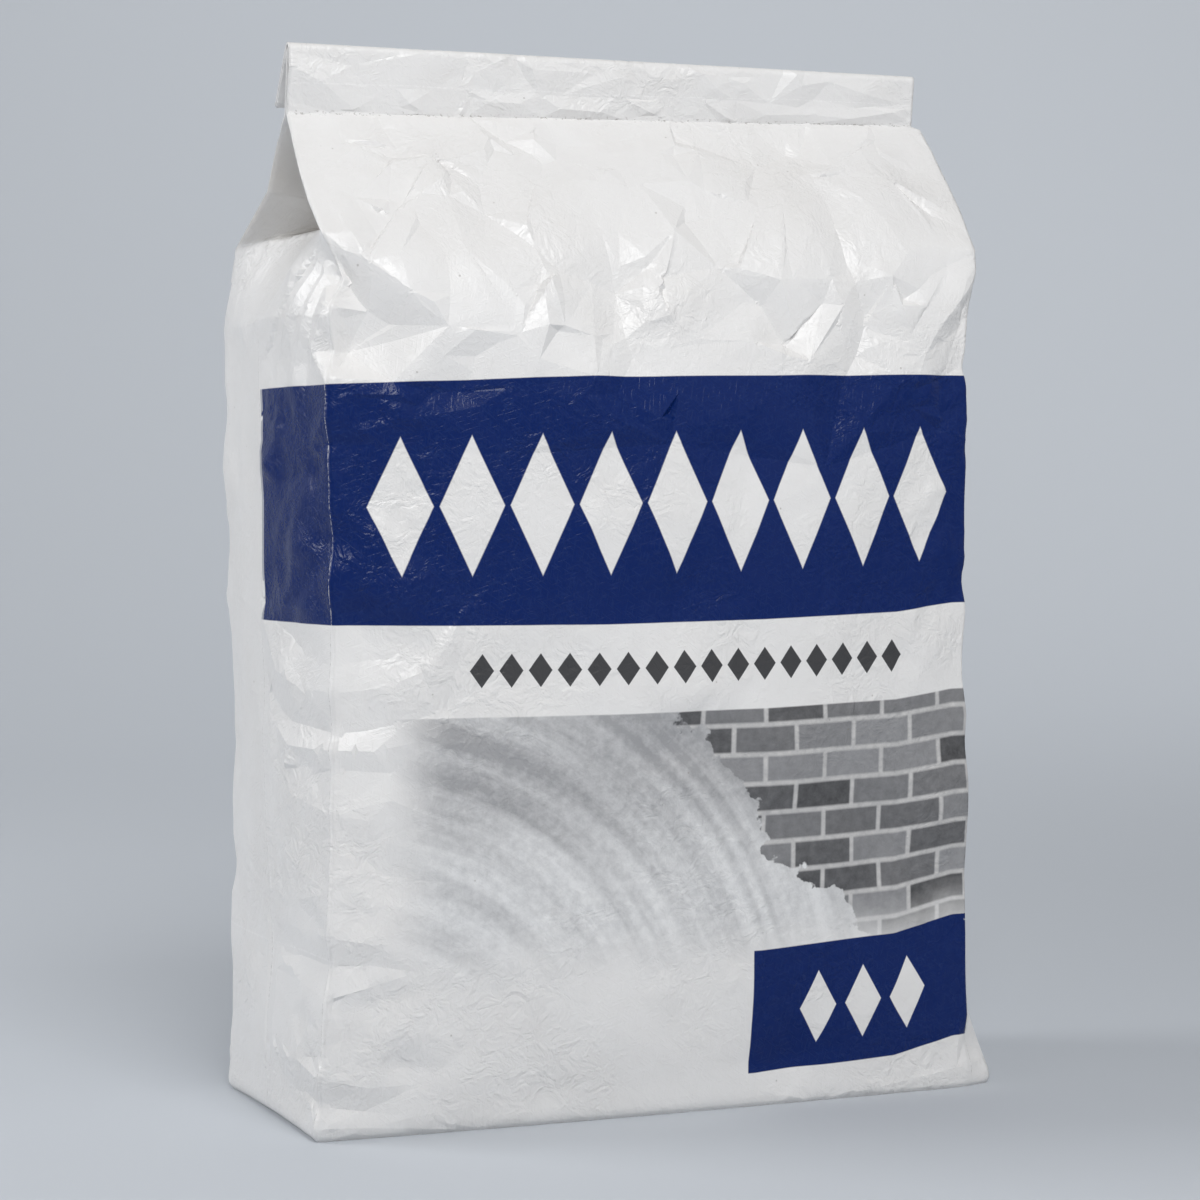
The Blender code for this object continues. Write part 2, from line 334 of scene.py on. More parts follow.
# Folds pressed into the top of the front panel: broken lines of (u, v, height), where heights
# are measured out from the smooth sheet. The sheet is flat between neighbouring lines.
FOLD_LINES = [
    # The strip's lower edge, the left and right folds and the top of the filled part stay put
    [(-64, 180, 0), (-45, 179.5, 0), (-29.7, 179, 0), (-27.8, 179, 0), (-13.7, 179, 0), (-5, 179, 0)],
    [(-5, 179, 0), (10, 179, 0), (25, 179, 0), (35.5, 179, 0), (50, 179, 0), (66, 180, 0)],
    [(-66, 116, 0), (-30, 114, 0), (0, 116, 0), (30, 112, 0), (66, 114, 0)],
    # Left fold and the big dent beside it
    [(-64, 172, 0), (-60, 164, -0.3), (-60, 152.2, -0.4), (-59.4, 147.0, -1.2), (-57.6, 142.8, -1.6),
     (-61.0, 138.5, 0.4)],
    [(-59.6, 168.0, 0.1), (-57.4, 161.7, 1.2), (-55.8, 153.5, 1.5), (-54.6, 145.9, 1.1)],
    [(-57.4, 161.7, 1.2), (-52.5, 158.0, 0.1), (-51.0, 151.0, 0.2), (-54.6, 145.9, 1.1)],
    [(-57.4, 161.7, 1.2), (-60.0, 158.0, -0.3), (-55.8, 153.5, 1.5)],
    [(-57.4, 161.7, 1.2), (-53.5, 166.5, 0.5), (-45.0, 166.0, 0.2)],
    [(-60, 152.2, -0.4), (-57.6, 148.0, 0.3), (-57.6, 142.8, -1.6), (-54.6, 145.9, 1.1)],
    [(-54.6, 145.9, 1.1), (-47.5, 141.0, 1.6), (-40.5, 135.2, 1.2), (-27.7, 134.3, 1.3)],
    [(-54.6, 145.9, 1.1), (-53.0, 138.0, -1.1), (-56.1, 131.1, -2.4), (-40.5, 135.2, 1.2)],
    [(-57.6, 142.8, -1.6), (-53.0, 138.0, -1.1), (-61.0, 138.5, 0.4)],
    [(-61.0, 138.5, 0.4), (-56.1, 131.1, -2.4), (-60.1, 126.7, 0.4)],
    [(-56.1, 131.1, -2.4), (-49.5, 126.0, 0.5), (-40.5, 135.2, 1.2)],
    [(-60.1, 126.7, 0.4), (-49.5, 126.0, 0.5), (-38, 124.5, -0.3), (-26, 125.5, 0.8),
     (-14, 127, 1.1)],
    # Below the left end of the strip
    [(-60.5, 178.5, 0), (-51.5, 171.8, 0.2), (-42.4, 169.8, 0.1), (-37.2, 167.3, 0.9)],
    [(-37.2, 167.3, 0.9), (-44.5, 157.0, -0.2), (-54.6, 145.9, 1.1)],
    [(-37.2, 167.3, 0.9), (-41.0, 158.5, 0.7), (-47.5, 154.5, 0.2)],
    [(-37.2, 167.3, 0.9), (-33.5, 159.0, 0.8), (-30.8, 155.4, -0.2)],
    [(-37.2, 167.3, 0.9), (-30.0, 162.0, 0.1), (-30.8, 155.4, -0.2)],
    [(-30.8, 155.4, -0.2), (-36.5, 148.0, 0.8), (-27.7, 134.3, 1.2)],
    [(-30.8, 155.4, -0.2), (-24.0, 149.0, 0.4), (-22.5, 143.5, 1.4), (-27.7, 134.3, 1.2)],
    [(-29.7, 179, 0), (-25.8, 172.6, 0.9), (-21.7, 168.5, 0.3)],
    [(-27.8, 179, 0), (-22.6, 173.0, -0.1), (-21.7, 168.5, 0.3)],
    [(-15.6, 179, 0), (-17.6, 172.5, 0.8), (-14.5, 167.7, 0.2)],
    [(-13.7, 179, 0), (-13.0, 172.5, -0.2), (-14.5, 167.7, 0.2)],
    [(-21.7, 168.5, 0.3), (-18.5, 169.2, 0.1), (-14.5, 167.7, 0.2), (-4.0, 165.0, 0.5)],
    # Middle of the panel
    [(-4.0, 165.0, 0.5), (-1.5, 161.5, 0.6), (7.8, 162.1, 0.9)],
    [(-13.2, 162.3, 0.8), (-11.0, 152.0, 0.1), (-9.3, 142.5, -1.4)],
    [(-20.4, 145.2, 0.2), (-14.0, 144.0, -0.6), (-9.3, 142.5, -1.4)],
    [(-24.1, 142.9, 0.3), (-20.4, 145.2, 0.2), (-13.2, 162.3, 0.8)],
    [(-9.3, 142.5, -1.4), (-4.0, 146.5, -0.4), (2.2, 152.5, 0.6)],
    [(2.2, 152.5, 0.6), (-2.4, 142.0, 0.7), (-5.0, 136.5, 0.2)],
    [(2.2, 152.5, 0.6), (-1.0, 145.0, -0.2), (-0.5, 138.0, 0.7)],
    [(2.2, 152.5, 0.6), (9.5, 147.0, -0.2), (18.1, 140.6, -0.9)],
    [(7.8, 162.1, 0.9), (10.6, 160.5, 0.5), (10.9, 155.9, -0.3)],
    [(7.8, 162.1, 0.9), (5.5, 154.9, -0.6), (10.9, 155.9, -0.3)],
    [(5.2, 134.0, 0.3), (15.7, 133.8, 0.4), (18.1, 140.6, -0.9)],
    [(-9.3, 142.5, -1.4), (-8.0, 134.0, -0.2), (5.2, 134.0, 0.3)],
    # Right of the middle
    [(13.3, 146.7, 0.3), (20.6, 144.5, 1.0), (18.1, 140.6, -0.9)],
    [(22.2, 165.5, -0.5), (20.0, 157.5, 0.1), (13.3, 146.7, 0.3)],
    [(22.2, 165.5, -0.5), (25.1, 161.0, 0.6), (20.6, 144.5, 1.0)],
    [(20.6, 144.5, 1.0), (22.5, 133.5, -0.8), (29.5, 141.0, -0.1), (30.8, 145.0, 0.6)],
    [(30.8, 145.0, 0.6), (33.2, 140.5, 0.6), (26.5, 130.5, 0.9), (22.5, 133.5, -0.8)],
    [(35.5, 179, 0), (32.6, 170.5, -0.6), (29.9, 164.0, 0.5)],
    [(37.3, 179, 0), (37.0, 166.0, 0.9), (47.2, 163.8, 0.7)],
    [(29.9, 164.0, 0.5), (37.0, 166.0, 0.9), (49.4, 175.2, 0.3), (59.2, 179.5, 0)],
    [(29.9, 164.0, 0.5), (38.0, 164.0, 0.6), (47.2, 163.8, 0.7)],
    [(42.7, 145.7, 0.9), (38.5, 137.0, -0.6), (36.0, 145.0, -0.2), (42.7, 145.7, 0.9)],
    [(38.5, 137.0, -0.6), (43.5, 138.5, 0.4), (42.7, 145.7, 0.9)],
    # Right shoulder
    [(47.2, 163.8, 0.7), (55.0, 158.2, 0.8), (63.1, 152.1, 0.3)],
    [(47.2, 163.8, 0.7), (54.0, 156.4, -0.9), (63.1, 152.1, 0.3)],
    [(47.2, 163.8, 0.7), (52.5, 154.5, 0.5), (63.1, 152.1, 0.3)],
    [(63.1, 166.4, 0.1), (54.0, 166.5, -0.3), (47.2, 163.8, 0.7)],
    [(63.1, 166.4, 0.1), (63.1, 152.1, 0.3), (61.0, 141.0, -0.3), (62.0, 128.0, 0.2)],
    [(63.1, 152.1, 0.3), (54.4, 148.1, 0.2), (47.0, 135.5, 0.7)],
    [(63.1, 152.1, 0.3), (56.4, 141.9, 0.9), (50.0, 132.0, 0.8)],
    [(63.1, 152.1, 0.3), (58.5, 137.0, -0.7), (54.0, 128.0, -0.2)],
]

# Folds pressed into the flat strip above it, raised only, as the layers behind stay flat
STRIP_LINES = [
    [(-64, 192.6, 0), (-30, 192.6, 0), (0, 192.6, 0), (30, 192.6, 0), (66, 192.6, 0)],
    [(-61.0, 189.7, 0.1), (-56.0, 188.9, 0.0), (-48.7, 187.5, 0.0), (-40.6, 183.8, 0.2)],
    [(-61.0, 187.4, 0.5), (-54.4, 184.5, 0.7), (-48.2, 179.9, 0.3)],
    [(-61.0, 182.2, 0.2), (-58.0, 180.8, 0.0), (-52.7, 179.5, 0.0)],
    [(-61.0, 184.1, 0.2), (-54.4, 184.5, 0.7)],
    [(-40.6, 183.8, 0.2), (-44.6, 181.8, 0.1), (-48.2, 179.9, 0.3)],
    [(-40.6, 183.8, 0.2), (-38.2, 181.1, 0.5), (-34.6, 179.3, 0.1), (-40.1, 180.5, 0.1), (-44.6, 179.2, 0.0)],
    [(-40.6, 183.8, 0.2), (-34.0, 183.8, 0.1), (-28.0, 184.1, 0.2), (-20.0, 183.8, 0.1), (-14.6, 183.8, 0.2),
     (-10.4, 183.5, 0.1), (0.1, 183.5, 0.2), (8.8, 183.2, 0.1), (16.6, 184.0, 0.2), (23.5, 183.9, 0.1),
     (30.5, 183.4, 0.2), (36.5, 182.9, 0.1), (48.0, 183.1, 0.2), (58.3, 183.3, 0.1)],
    [(-32.2, 191.1, 0.3), (-30.5, 189.3, 0.3), (-29.1, 186.9, 0.1), (-28.0, 184.1, 0.2)],
    [(-26.8, 191.8, 0.2), (-27.6, 189.6, 0.0), (-28.5, 186.1, 0.0), (-28.0, 184.1, 0.2), (-28.9, 179.2, 0.3)],
    [(-23.0, 189.2, 0.4), (-26.6, 187.0, 0.3), (-28.5, 186.1, 0.0)],
    [(-17.9, 191.5, 0.1), (-16.0, 188.3, 0.6), (-14.0, 183.4, 0.2), (-13.3, 179.2, 0.0)],
    [(-18.8, 190.1, 0.0), (-17.0, 186.7, 0.0), (-14.6, 183.8, 0.2)],
    [(-27.2, 182.9, 0.1), (-23.5, 181.9, 0.5), (-17.9, 181.7, 0.5), (-13.3, 179.2, 0.0)],
    [(-13.3, 179.2, 0.0), (-10.4, 180.9, 0.6), (-2.8, 180.5, 0.6), (2.6, 179.1, 0.0)],
    [(-0.5, 191.2, 0.1), (1.4, 187.6, 0.5), (2.6, 184.0, 0.3), (2.6, 179.1, 0.0)],
    [(-3.8, 188.3, 0.1), (-2.8, 186.3, 0.4), (0.1, 183.5, 0.2)],
    [(3.6, 190.6, 0.0), (4.6, 186.0, 0.1), (2.6, 184.0, 0.3)],
    [(7.8, 187.9, 0.4), (7.8, 183.3, 0.0), (10.8, 187.6, 0.3)],
    [(3.0, 182.8, 0.5), (6.8, 180.8, 0.5), (11.1, 179.2, 0.0)],
    [(2.6, 179.1, 0.0), (4.9, 179.9, 0.0), (7.8, 180.3, 0.0), (11.1, 179.2, 0.0)],
    [(16.6, 184.0, 0.2), (19.6, 186.3, 0.5), (21.9, 188.7, 0.2), (16.6, 189.2, 0.5), (12.7, 191.2, 0.0)],
    [(23.5, 183.9, 0.1), (24.9, 187.5, 0.5), (27.5, 189.2, 0.1)],
    [(22.5, 182.4, 0.2), (21.9, 180.1, 0.5), (20.9, 179.1, 0.0)],
    [(33.5, 191.6, 0.0), (35.5, 189.9, 0.6), (37.6, 191.6, 0.0)],
    [(30.5, 183.4, 0.2), (36.5, 187.6, 0.6), (39.6, 184.9, 0.0)],
    [(36.5, 187.6, 0.6), (42.5, 189.0, 0.2), (48.8, 186.6, 0.5), (58.1, 184.3, 0.0)],
    [(58.6, 191.6, 0.0), (52.9, 189.3, 0.1), (48.8, 186.6, 0.5)],
    [(58.9, 180.2, 0.0), (55.6, 182.2, 0.5), (58.9, 181.8, 0.0)],
    [(30.0, 180.8, 0.4), (39.0, 181.2, 0.3), (47.0, 180.4, 0.5), (55.6, 182.2, 0.5)],
]

# Streaks that fan out from the left pocket over the gusset below it
GUSSET_LINES = [
    [(-118, 152, 0), (-96, 152, 0), (-64, 151, 0)],
    [(-118, 112, 0), (-96, 110, 0), (-64, 114, 0)],
    [(-66, 150, 0.1), (-72, 143, 0.45), (-80, 136, 0.4), (-88, 129, 0.15), (-90, 118, 0.15)],
    [(-66, 149, -0.1), (-73, 141, -0.1), (-82, 133, -0.1), (-86, 124, -0.05)],
    [(-65, 148, 0.15), (-71, 139.5, 0.25), (-79, 131, 0.15), (-82, 122, 0)],
    [(-64.5, 146.5, -0.1), (-69.5, 137.5, -0.1), (-76.5, 128, -0.1), (-78, 119, 0)],
    [(-64, 145, 0.15), (-68, 136, 0.25), (-73, 126, 0.15), (-73, 117, 0)],
    [(-63.5, 142.5, -0.15), (-66.5, 133, -0.1), (-69, 124, -0.1)],
    [(-63.5, 139, 0.15), (-65, 131, 0.2), (-65, 123, 0.05)],
    [(-104, 151, 0), (-98, 146, -0.25), (-92, 138, -0.1), (-88, 129, 0.15)],
    [(-115, 149, 0), (-106, 141, 0.2), (-97, 133, 0.1), (-96, 124, 0)],
    [(-116, 140, 0), (-108, 134, -0.15), (-104, 124, 0.05)],
]

# Folds at the two front corners of the foot
FOOT_LINES = [
    [(-90, 40, 0), (-60, 42, 0), (-30, 40, 0), (30, 40, 0), (90, 40, 0)],
    [(-90, 0, 0), (-60, 0, 0), (-30, 0, 0), (30, 0, 0), (90, 0, 0)],
    [(-40, 30, 0), (-34, 16, 0), (-38, 4, 0)],
    [(50, 24, 0), (46, 12, 0), (50, 4, 0)],
    # The foot crease, pressed in above its lower lip
    [(-87, 34.5, 0), (-74, 34.5, 0.06), (-60, 34.8, 0.06), (-52, 33, 0.06)],
    [(-88, 30.4, -0.27), (-74, 30.0, -0.33), (-60, 29.8, -0.55), (-53, 29.6, -0.33), (-45, 28.2, 0.06)],
    [(-86, 26.4, 0.06), (-72, 25.8, 0.11), (-60, 24.4, 0.28), (-53, 26.0, 0.17), (-45, 28.2, 0.06)],
    [(-60, 24.4, 0.28), (-57.0, 17.5, -0.05), (-50, 16.0, 0.06)],
    # The buckle near the floor
    [(-84, 15.0, 0.11), (-72, 13.0, 0.39), (-60, 11.0, 0.55), (-52, 9.0, 0.28)],
    [(-74, 8.0, -0.16), (-66, 7.2, -0.27), (-60, 5.8, -0.55), (-52, 4.6, -0.27), (-44, 3.4, 0)],
    [(-60, 2.6, 0.28), (-50, 2.0, 0.11), (-44, 3.4, 0)],
    # The right corner, pushed out
    [(56.5, 16.0, 0.06), (58.6, 12.5, 0.11), (60.4, 8.6, -0.44), (66.5, 4.6, 0.17)],
    [(57.5, 3.6, 0.22), (60.4, 8.6, -0.44), (63.5, 13.5, 0.17), (66.0, 20.0, 0)],
]

# Buckles across the left fold at half height
SIDE_LINES = [
    [(-90, 40, 0), (-92, 66, 0), (-90, 90, 0), (-60, 88, 0), (-36, 90, 0), (-34, 66, 0), (-36, 42, 0)],
    [(-76, 82, -0.1), (-66, 80, -0.2), (-60, 79.6, -0.2), (-50, 80.5, -0.2)],
    [(-82, 78, 0.2), (-72, 75.5, 0.3), (-60, 75, 0.2), (-52, 75.5, 0.4), (-45, 73.5, 0.1)],
    [(-87, 73.5, -0.3), (-77, 69.5, -0.5), (-68, 68.8, -0.5), (-60, 68.2, -0.6), (-54, 68.6, -0.4),
     (-47, 70, -0.1)],
    [(-60, 68.2, -0.6), (-55, 72.5, 0.0), (-52, 75.5, 0.4)],
    [(-60, 68.2, -0.6), (-64, 72, 0.1), (-72, 75.5, 0.3)],
    [(-84, 69, 0.1), (-76, 65.5, 0.3), (-66, 65.4, 0.3), (-60, 65.6, 0.2), (-53, 65.2, 0.3), (-46, 66.5, 0.1)],
    [(-80, 61, -0.1), (-70, 62.2, -0.3), (-60, 62.4, -0.3), (-50, 61.5, -0.2)],
    [(-74, 57, 0.2), (-60, 55, 0.1), (-50, 57, 0.3), (-43, 54, 0.1)],
    [(-78, 50, 0.0), (-68, 49, -0.2), (-60, 50, -0.2), (-52, 50.5, -0.2), (-44, 48, 0)],
]

# Small folds between the others: a point every few millimetres, a little out of their facets
LOOSE_POINTS = 240
LOOSE_HEIGHT = 0.26
SIDE_POINTS = 70
SIDE_HEIGHT = 0.2
SOFT_SHARE = 0.3

CREASES = [
    # Buckles across the left front fold
    Crease(-66, 116, -52, 116, 0.9, 5, 6),
    Crease(-70, 101, -52, 99, 1.3, 6, 6),
    Crease(-60, 47, -40, 43, 1.0, 6, 7),
    Crease(-62, 39, -50, 36, 0.9, 5, 5),
    Crease(-58, 22, -42, 25, 1.0, 5, 6),
    Crease(-76, 20, -62, 19, 0.9, 5, 6),
    Crease(-52, 13, -38, 11, 0.8, 5, 5),
]


class Net(NamedTuple):
    """Folds joined to a net of flat triangles: corner places (u, v), their heights, edges and faces."""

    places: np.ndarray
    heights: np.ndarray
    edges: list
    triangles: list


def fold_net(lines, loose=()):
    """The net through the broken lines and the loose points, all of them (u, v, height).

    Where lines cross, the net's corner takes the height of the line at that place."""
    points = list(loose)
    given = []
    for line in lines:
        given += [(len(points) + k, len(points) + k + 1) for k in range(len(line) - 1)]
        points += line
    flat, edges, triangles, sources, _, _ = delaunay_2d_cdt(
        [Vector(point[:2]) for point in points], given, [], 0, 1e-4
    )
    heights = []
    for place, found in zip(flat, sources):
        if found:
            heights.append(np.mean([points[k][2] for k in found]))
            continue
        on_lines = []
        for start, end in given:
            a = Vector(points[start][:2])
            way = Vector(points[end][:2]) - a
            share = (place - a).dot(way) / way.length_squared
            if 0 <= share <= 1 and (a + way * share - place).length < 1e-3:
                on_lines.append(points[start][2] + share * (points[end][2] - points[start][2]))
        heights.append(np.mean(on_lines) if on_lines else 0.0)
    places = np.array([[place.x, place.y] for place in flat])
    return Net(places, np.array(heights), edges, triangles)


def net_field(u, v, net):
    """Heights of the net: inside each triangle the mean of its corners' heights, each weighted
    by the place's barycentric share."""
    height = np.zeros(np.broadcast(u, v).shape)
    for corners in net.triangles:
        place = net.places[corners]
        first, second = place[1] - place[0], place[2] - place[0]
        area = first[0] * second[1] - first[1] * second[0]
        if abs(area) < 1e-6:
            continue
        near_rows, near_columns = (
            np.flatnonzero(((x >= low - 1.5) & (x <= high + 1.5)).any(axis=axis))
            for x, low, high, axis in (
                (v, place[:, 1].min(), place[:, 1].max(), 1), (u, place[:, 0].min(), place[:, 0].max(), 0)
            )
        )
        if not len(near_rows) or not len(near_columns):
            continue
        window = np.ix_(near_rows, near_columns)
        du = u[window] - place[0, 0]
        dv = v[window] - place[0, 1]
        share_b = (du * second[1] - dv * second[0]) / area
        share_c = (dv * first[0] - du * first[1]) / area
        inside = (share_b >= -1e-6) & (share_c >= -1e-6) & (share_b + share_c <= 1 + 1e-6)
        a, b, c = net.heights[corners]
        height[window] = np.where(inside, a + share_b * (b - a) + share_c * (c - a), height[window])
    return height


def nearest(values, wanted):
    """Index of the nearest of the rising values to each wanted one."""
    return np.searchsorted((values[1:] + values[:-1]) / 2, wanted)


def on_the_folds(u, v, net):
    """The grid's places with those nearest to a fold moved onto it, and a mark on the moved ones.

    A steep fold moves one place of each row sideways, a flat one moves one place of each column
    up or down, and at last the net's corners draw the places nearest to them."""
    place_u = np.tile(u, (len(v), 1))
    place_v = np.tile(v[:, None], (1, len(u)))
    marked = np.zeros(place_u.shape, bool)
    cell_u = PANEL_HALF * 2 / FRONT_CELLS
    for start, end in net.edges:
        (u0, v0), (u1, v1) = net.places[start], net.places[end]
        if abs(v1 - v0) / ROW >= abs(u1 - u0) / cell_u:
            rows = np.flatnonzero((v >= min(v0, v1)) & (v <= max(v0, v1)))
            wanted = u0 + (v[rows] - v0) * (u1 - u0) / (v1 - v0)
            columns = nearest(u, wanted)
            place_u[rows, columns] = wanted
        else:
            columns = np.flatnonzero((u >= min(u0, u1)) & (u <= max(u0, u1)))
            wanted = v0 + (u[columns] - u0) * (v1 - v0) / (u1 - u0)
            rows = nearest(v, wanted)
            place_v[rows, columns] = wanted
        marked[rows, columns] = True
    inside = (net.places[:, 1] > v[0]) & (net.places[:, 1] < v[-1])
    rows, columns = nearest(v, net.places[inside, 1]), nearest(u, net.places[inside, 0])
    place_u[rows, columns], place_v[rows, columns] = net.places[inside].T
    marked[rows, columns] = True
    held = np.abs(np.abs(u) - PANEL_HALF) < 1
    place_u[:, held], place_v[:, held] = u[held], v[:, None]
    marked[:, held] = False
    place_u[0], place_v[0], marked[0] = u, v[0], False
    return place_u, place_v, marked


def slide(points, from_u, from_v, to_u, to_v):
    """The grid's points moved over the surface: each goes towards its neighbour on that side by
    the share of the step between them that its place (u, v) was moved."""
    moved = points.copy()
    for axis, start, goal in ((1, from_u, to_u), (0, from_v, to_v)):
        for side in (1, -1):
            step = np.roll(start, -side, axis) - start
            way = np.roll(points, -side, axis) - points
            share = np.where(np.abs(step) > 1e-6, (goal - start) / np.where(step == 0, 1, step), 0)
            moved += way * np.clip(share, 0, 0.75)[..., None]
    return moved


def crease_field(u, v, creases):
    """Sum of the creases, each a shallow pyramid of four flat walls:
    depth x max(0, 1 - |2a - 1| - distance / reach), with a the share of the way along it."""
    height = np.zeros(np.broadcast(u, v).shape)
    for c in creases:
        du = c.u1 - c.u0
        dv = c.v1 - c.v0
        length = math.hypot(du, dv)
        a = ((u - c.u0) * du + (v - c.v0) * dv) / length**2
        across = ((v - c.v0) * du - (u - c.u0) * dv) / length
        reach = np.where(across > 0, c.left, c.right)
        height -= c.depth * np.clip(1 - np.abs(2 * a - 1) - np.abs(across) / reach, 0, 1)
    return height


def random_creases(count, seed, u_range, v_range, length, depth):
    """Small creases scattered over a part of the sheet, alike in kind and each one different."""
    rng = np.random.default_rng(seed)
    found = []
    for _ in range(count):
        u = rng.uniform(*u_range)
        v = rng.uniform(*v_range)
        turn = rng.uniform(0, math.pi)
        reach = rng.uniform(*length)
        found.append(
            Crease(
                u - reach / 2 * math.cos(turn), v - reach / 2 * math.sin(turn),
                u + reach / 2 * math.cos(turn), v + reach / 2 * math.sin(turn),
                rng.uniform(*depth) * rng.choice([-1, 1]),
                reach * rng.uniform(0.25, 0.6), reach * rng.uniform(0.25, 0.6),
            )
        )
    return found


def outward(points):
    """Unit normals of a grid whose columns run round anticlockwise and whose rows run up."""
    along_u = np.roll(points, -1, axis=1) - np.roll(points, 1, axis=1)
    along_v = np.gradient(points, axis=0)
    normal = np.cross(along_u, along_v)
    return normal / (np.linalg.norm(normal, axis=-1, keepdims=True) + 1e-12)


def ramp(x, start, end):
    """0 before start, 1 after end and smooth between them."""
    t = np.clip((x - start) / (end - start), 0, 1)
    return t * t * (3 - 2 * t)


def body_surface():
    """The smooth tube from the foot to the neck, at rows ROW apart, and its outward directions."""
    v = np.arange(0, NECK_V + ROW / 2, ROW)
    points, u = tube(LEVELS, v)
    on_front = ramp(PANEL_HALF - np.abs(u), 2, 12)[None, :]
    on_back = ramp(np.abs(u) - BACK_FOLD, 2, 12)[None, :]
    in_body = (1 - ramp(v, SHOULDER_V - 12, SHOULDER_V - 2))[:, None]
    below_neck = (1 - ramp(v, NECK_V - 5, NECK_V - 2))[:, None]
    foot = ramp(v, 2, 8)[:, None]
    soft = np.maximum(in_body, np.maximum(on_front, on_back) * below_neck) * foot
    points += (smooth_rows(points, 5.0 / ROW, 0) - points) * soft[..., None]
    round_fold = (0.35 + 0.65 * in_body) * below_neck
    points += (smooth_rows(points, 0.9, 1) - points) * round_fold[..., None]
    push = smooth_rows(smooth_rows(outward(points), 6.0, 1), 4.0 / ROW, 0)
    push /= np.linalg.norm(push, axis=-1, keepdims=True)
    roof_gusset = ramp(v, ROOF_V - 5, ROOF_V + 2)[:, None] * (1 - np.maximum(on_front, on_back))
    return points, u, v, push, below_neck, roof_gusset


def bag_surface():
    """The whole skin as rows of points from the bottom's middle up to the flap's free edge."""
    points, u, v, push, below_neck, roof_gusset = body_surface()
    keep = np.concatenate([
        np.arange(0, int(FOOT_FINE_V / ROW), 2),
        np.arange(int(FOOT_FINE_V / ROW), int(FINE_V / ROW), 3),
        np.arange(int(FINE_V / ROW), len(v)),
    ])
    over, over_v = fold_over(points)
    forward = np.broadcast_to((0.0, -1.0, 0.0), over.shape)
    v = np.concatenate([v[keep], over_v])
    points = np.concatenate([points[keep], over])
    push = np.concatenate([push[keep], forward])
    none = np.zeros((len(over_v), 1))
    below_neck = np.concatenate([below_neck[keep], none])
    roof_gusset = np.concatenate([roof_gusset[keep], none + np.zeros((1, len(u)))])

    lines = FOLD_LINES + STRIP_LINES + GUSSET_LINES + SIDE_LINES + FOOT_LINES
    rng = np.random.default_rng(12)
    first = fold_net(lines)
    loose = []
    for count, out, spread_u, spread_v in (
        (LOOSE_POINTS, LOOSE_HEIGHT, (-58, 60), (118, 176)), (SIDE_POINTS, SIDE_HEIGHT, (-86, -40), (5, 84)),
    ):
        loose_u, loose_v = rng.uniform(*spread_u, (count, 1)), rng.uniform(*spread_v, (count, 1))
        height = net_field(loose_u, loose_v, first) + rng.normal(0, out, (count, 1))
        loose += np.concatenate([loose_u, loose_v, height], axis=1).tolist()
    net = fold_net(lines, [tuple(point) for point in loose])

    grid_u, grid_v = np.meshgrid(u, v)
    place_u, place_v, marked = on_the_folds(u, v, net)
    points = slide(points, grid_u, grid_v, place_u, place_v)

    creases = CREASES + random_creases(120, 3, (-118, 64), (4, 150), (8, 22), (0.12, 0.45))
    creases += random_creases(30, 5, (-60, 60), (8, 122), (22, 44), (0.4, 1.0))
    creases += random_creases(40, 7, (-86, -44), (84, 130), (7, 18), (0.25, 0.6))
    creases += random_creases(24, 8, (48, 64), (84, 130), (7, 18), (0.2, 0.5))
    creases += random_creases(130, 4, (64, 242), (4, 172), (12, 34), (0.4, 1.3))
    height = crease_field(place_u, place_v, creases)
    height += crease_field(place_u + 2 * BACK_MIDDLE, place_v, creases)
    height *= below_neck * (1 - 0.9 * roof_gusset)
    folds = NET_STRENGTH * net_field(place_u, place_v, net)
    fine = (SOFT_SHARE * ramp(v, FINE_V, FINE_V + 6) + 0.2 * (1 - ramp(v, 92, 98)))[:, None]
    folds += (smooth_rows(smooth_rows(folds, 5.0, 0), 4.6, 1) - folds) * fine
    folds *= np.where(np.abs(u) <= PANEL_HALF, 1, below_neck) * (1 - 0.9 * roof_gusset)
    height = (height + folds) * ramp(v, 0, 4)[:, None]
    points += push * height[..., None]

    under, under_v = block_bottom(points[0])
    wear = smooth_rows(smooth_rows(marked.astype(float), 0.6, 0), 0.6, 1)
    no_folds = np.zeros((len(under), len(u)))
    wear = np.concatenate([no_folds, wear])
    marked = np.concatenate([no_folds > 0, marked])
    place_u = np.concatenate([no_folds + u, place_u])
    place_v = np.concatenate([no_folds + under_v[:, None], place_v])
    return np.concatenate([under, points]), place_u, place_v, wear, marked


# How far the print lies above its own straight lines: at the heights in PRINT_V, for the places
# along the front in PRINT_U
PRINT_U = (-88.0, -61.0, -39.0, -12.0, 18.0, 45.0, 57.0, 88.0)
PRINT_V = (0.0, 6.5, 28.0, 50.0, 86.0, 127.0, 140.0)
PRINT_LIFT = (
    (0.0, 0.0, 0.0, 0.0, -0.7, 0.4, 3.0, 3.0),
    (0.0, 0.0, 0.0, 0.0, -0.7, 0.4, 3.0, 3.0),
    (0.0, 0.0, 0.0, 0.0, -0.1, 1.1, 4.0, 4.0),
    (0.0, 0.0, 0.0, 0.0, 0.0, 0.5, 2.0, 2.0),
    (0.2, 0.1, -0.3, -0.6, -0.3, 0.4, 1.8, 2.0),
    (-1.6, -1.5, -0.6, 0.3, 0.9, 1.5, 1.7, 1.7),
    (0.0, 0.0, 0.0, 0.0, 0.0, 0.0, 0.0, 0.0),
)


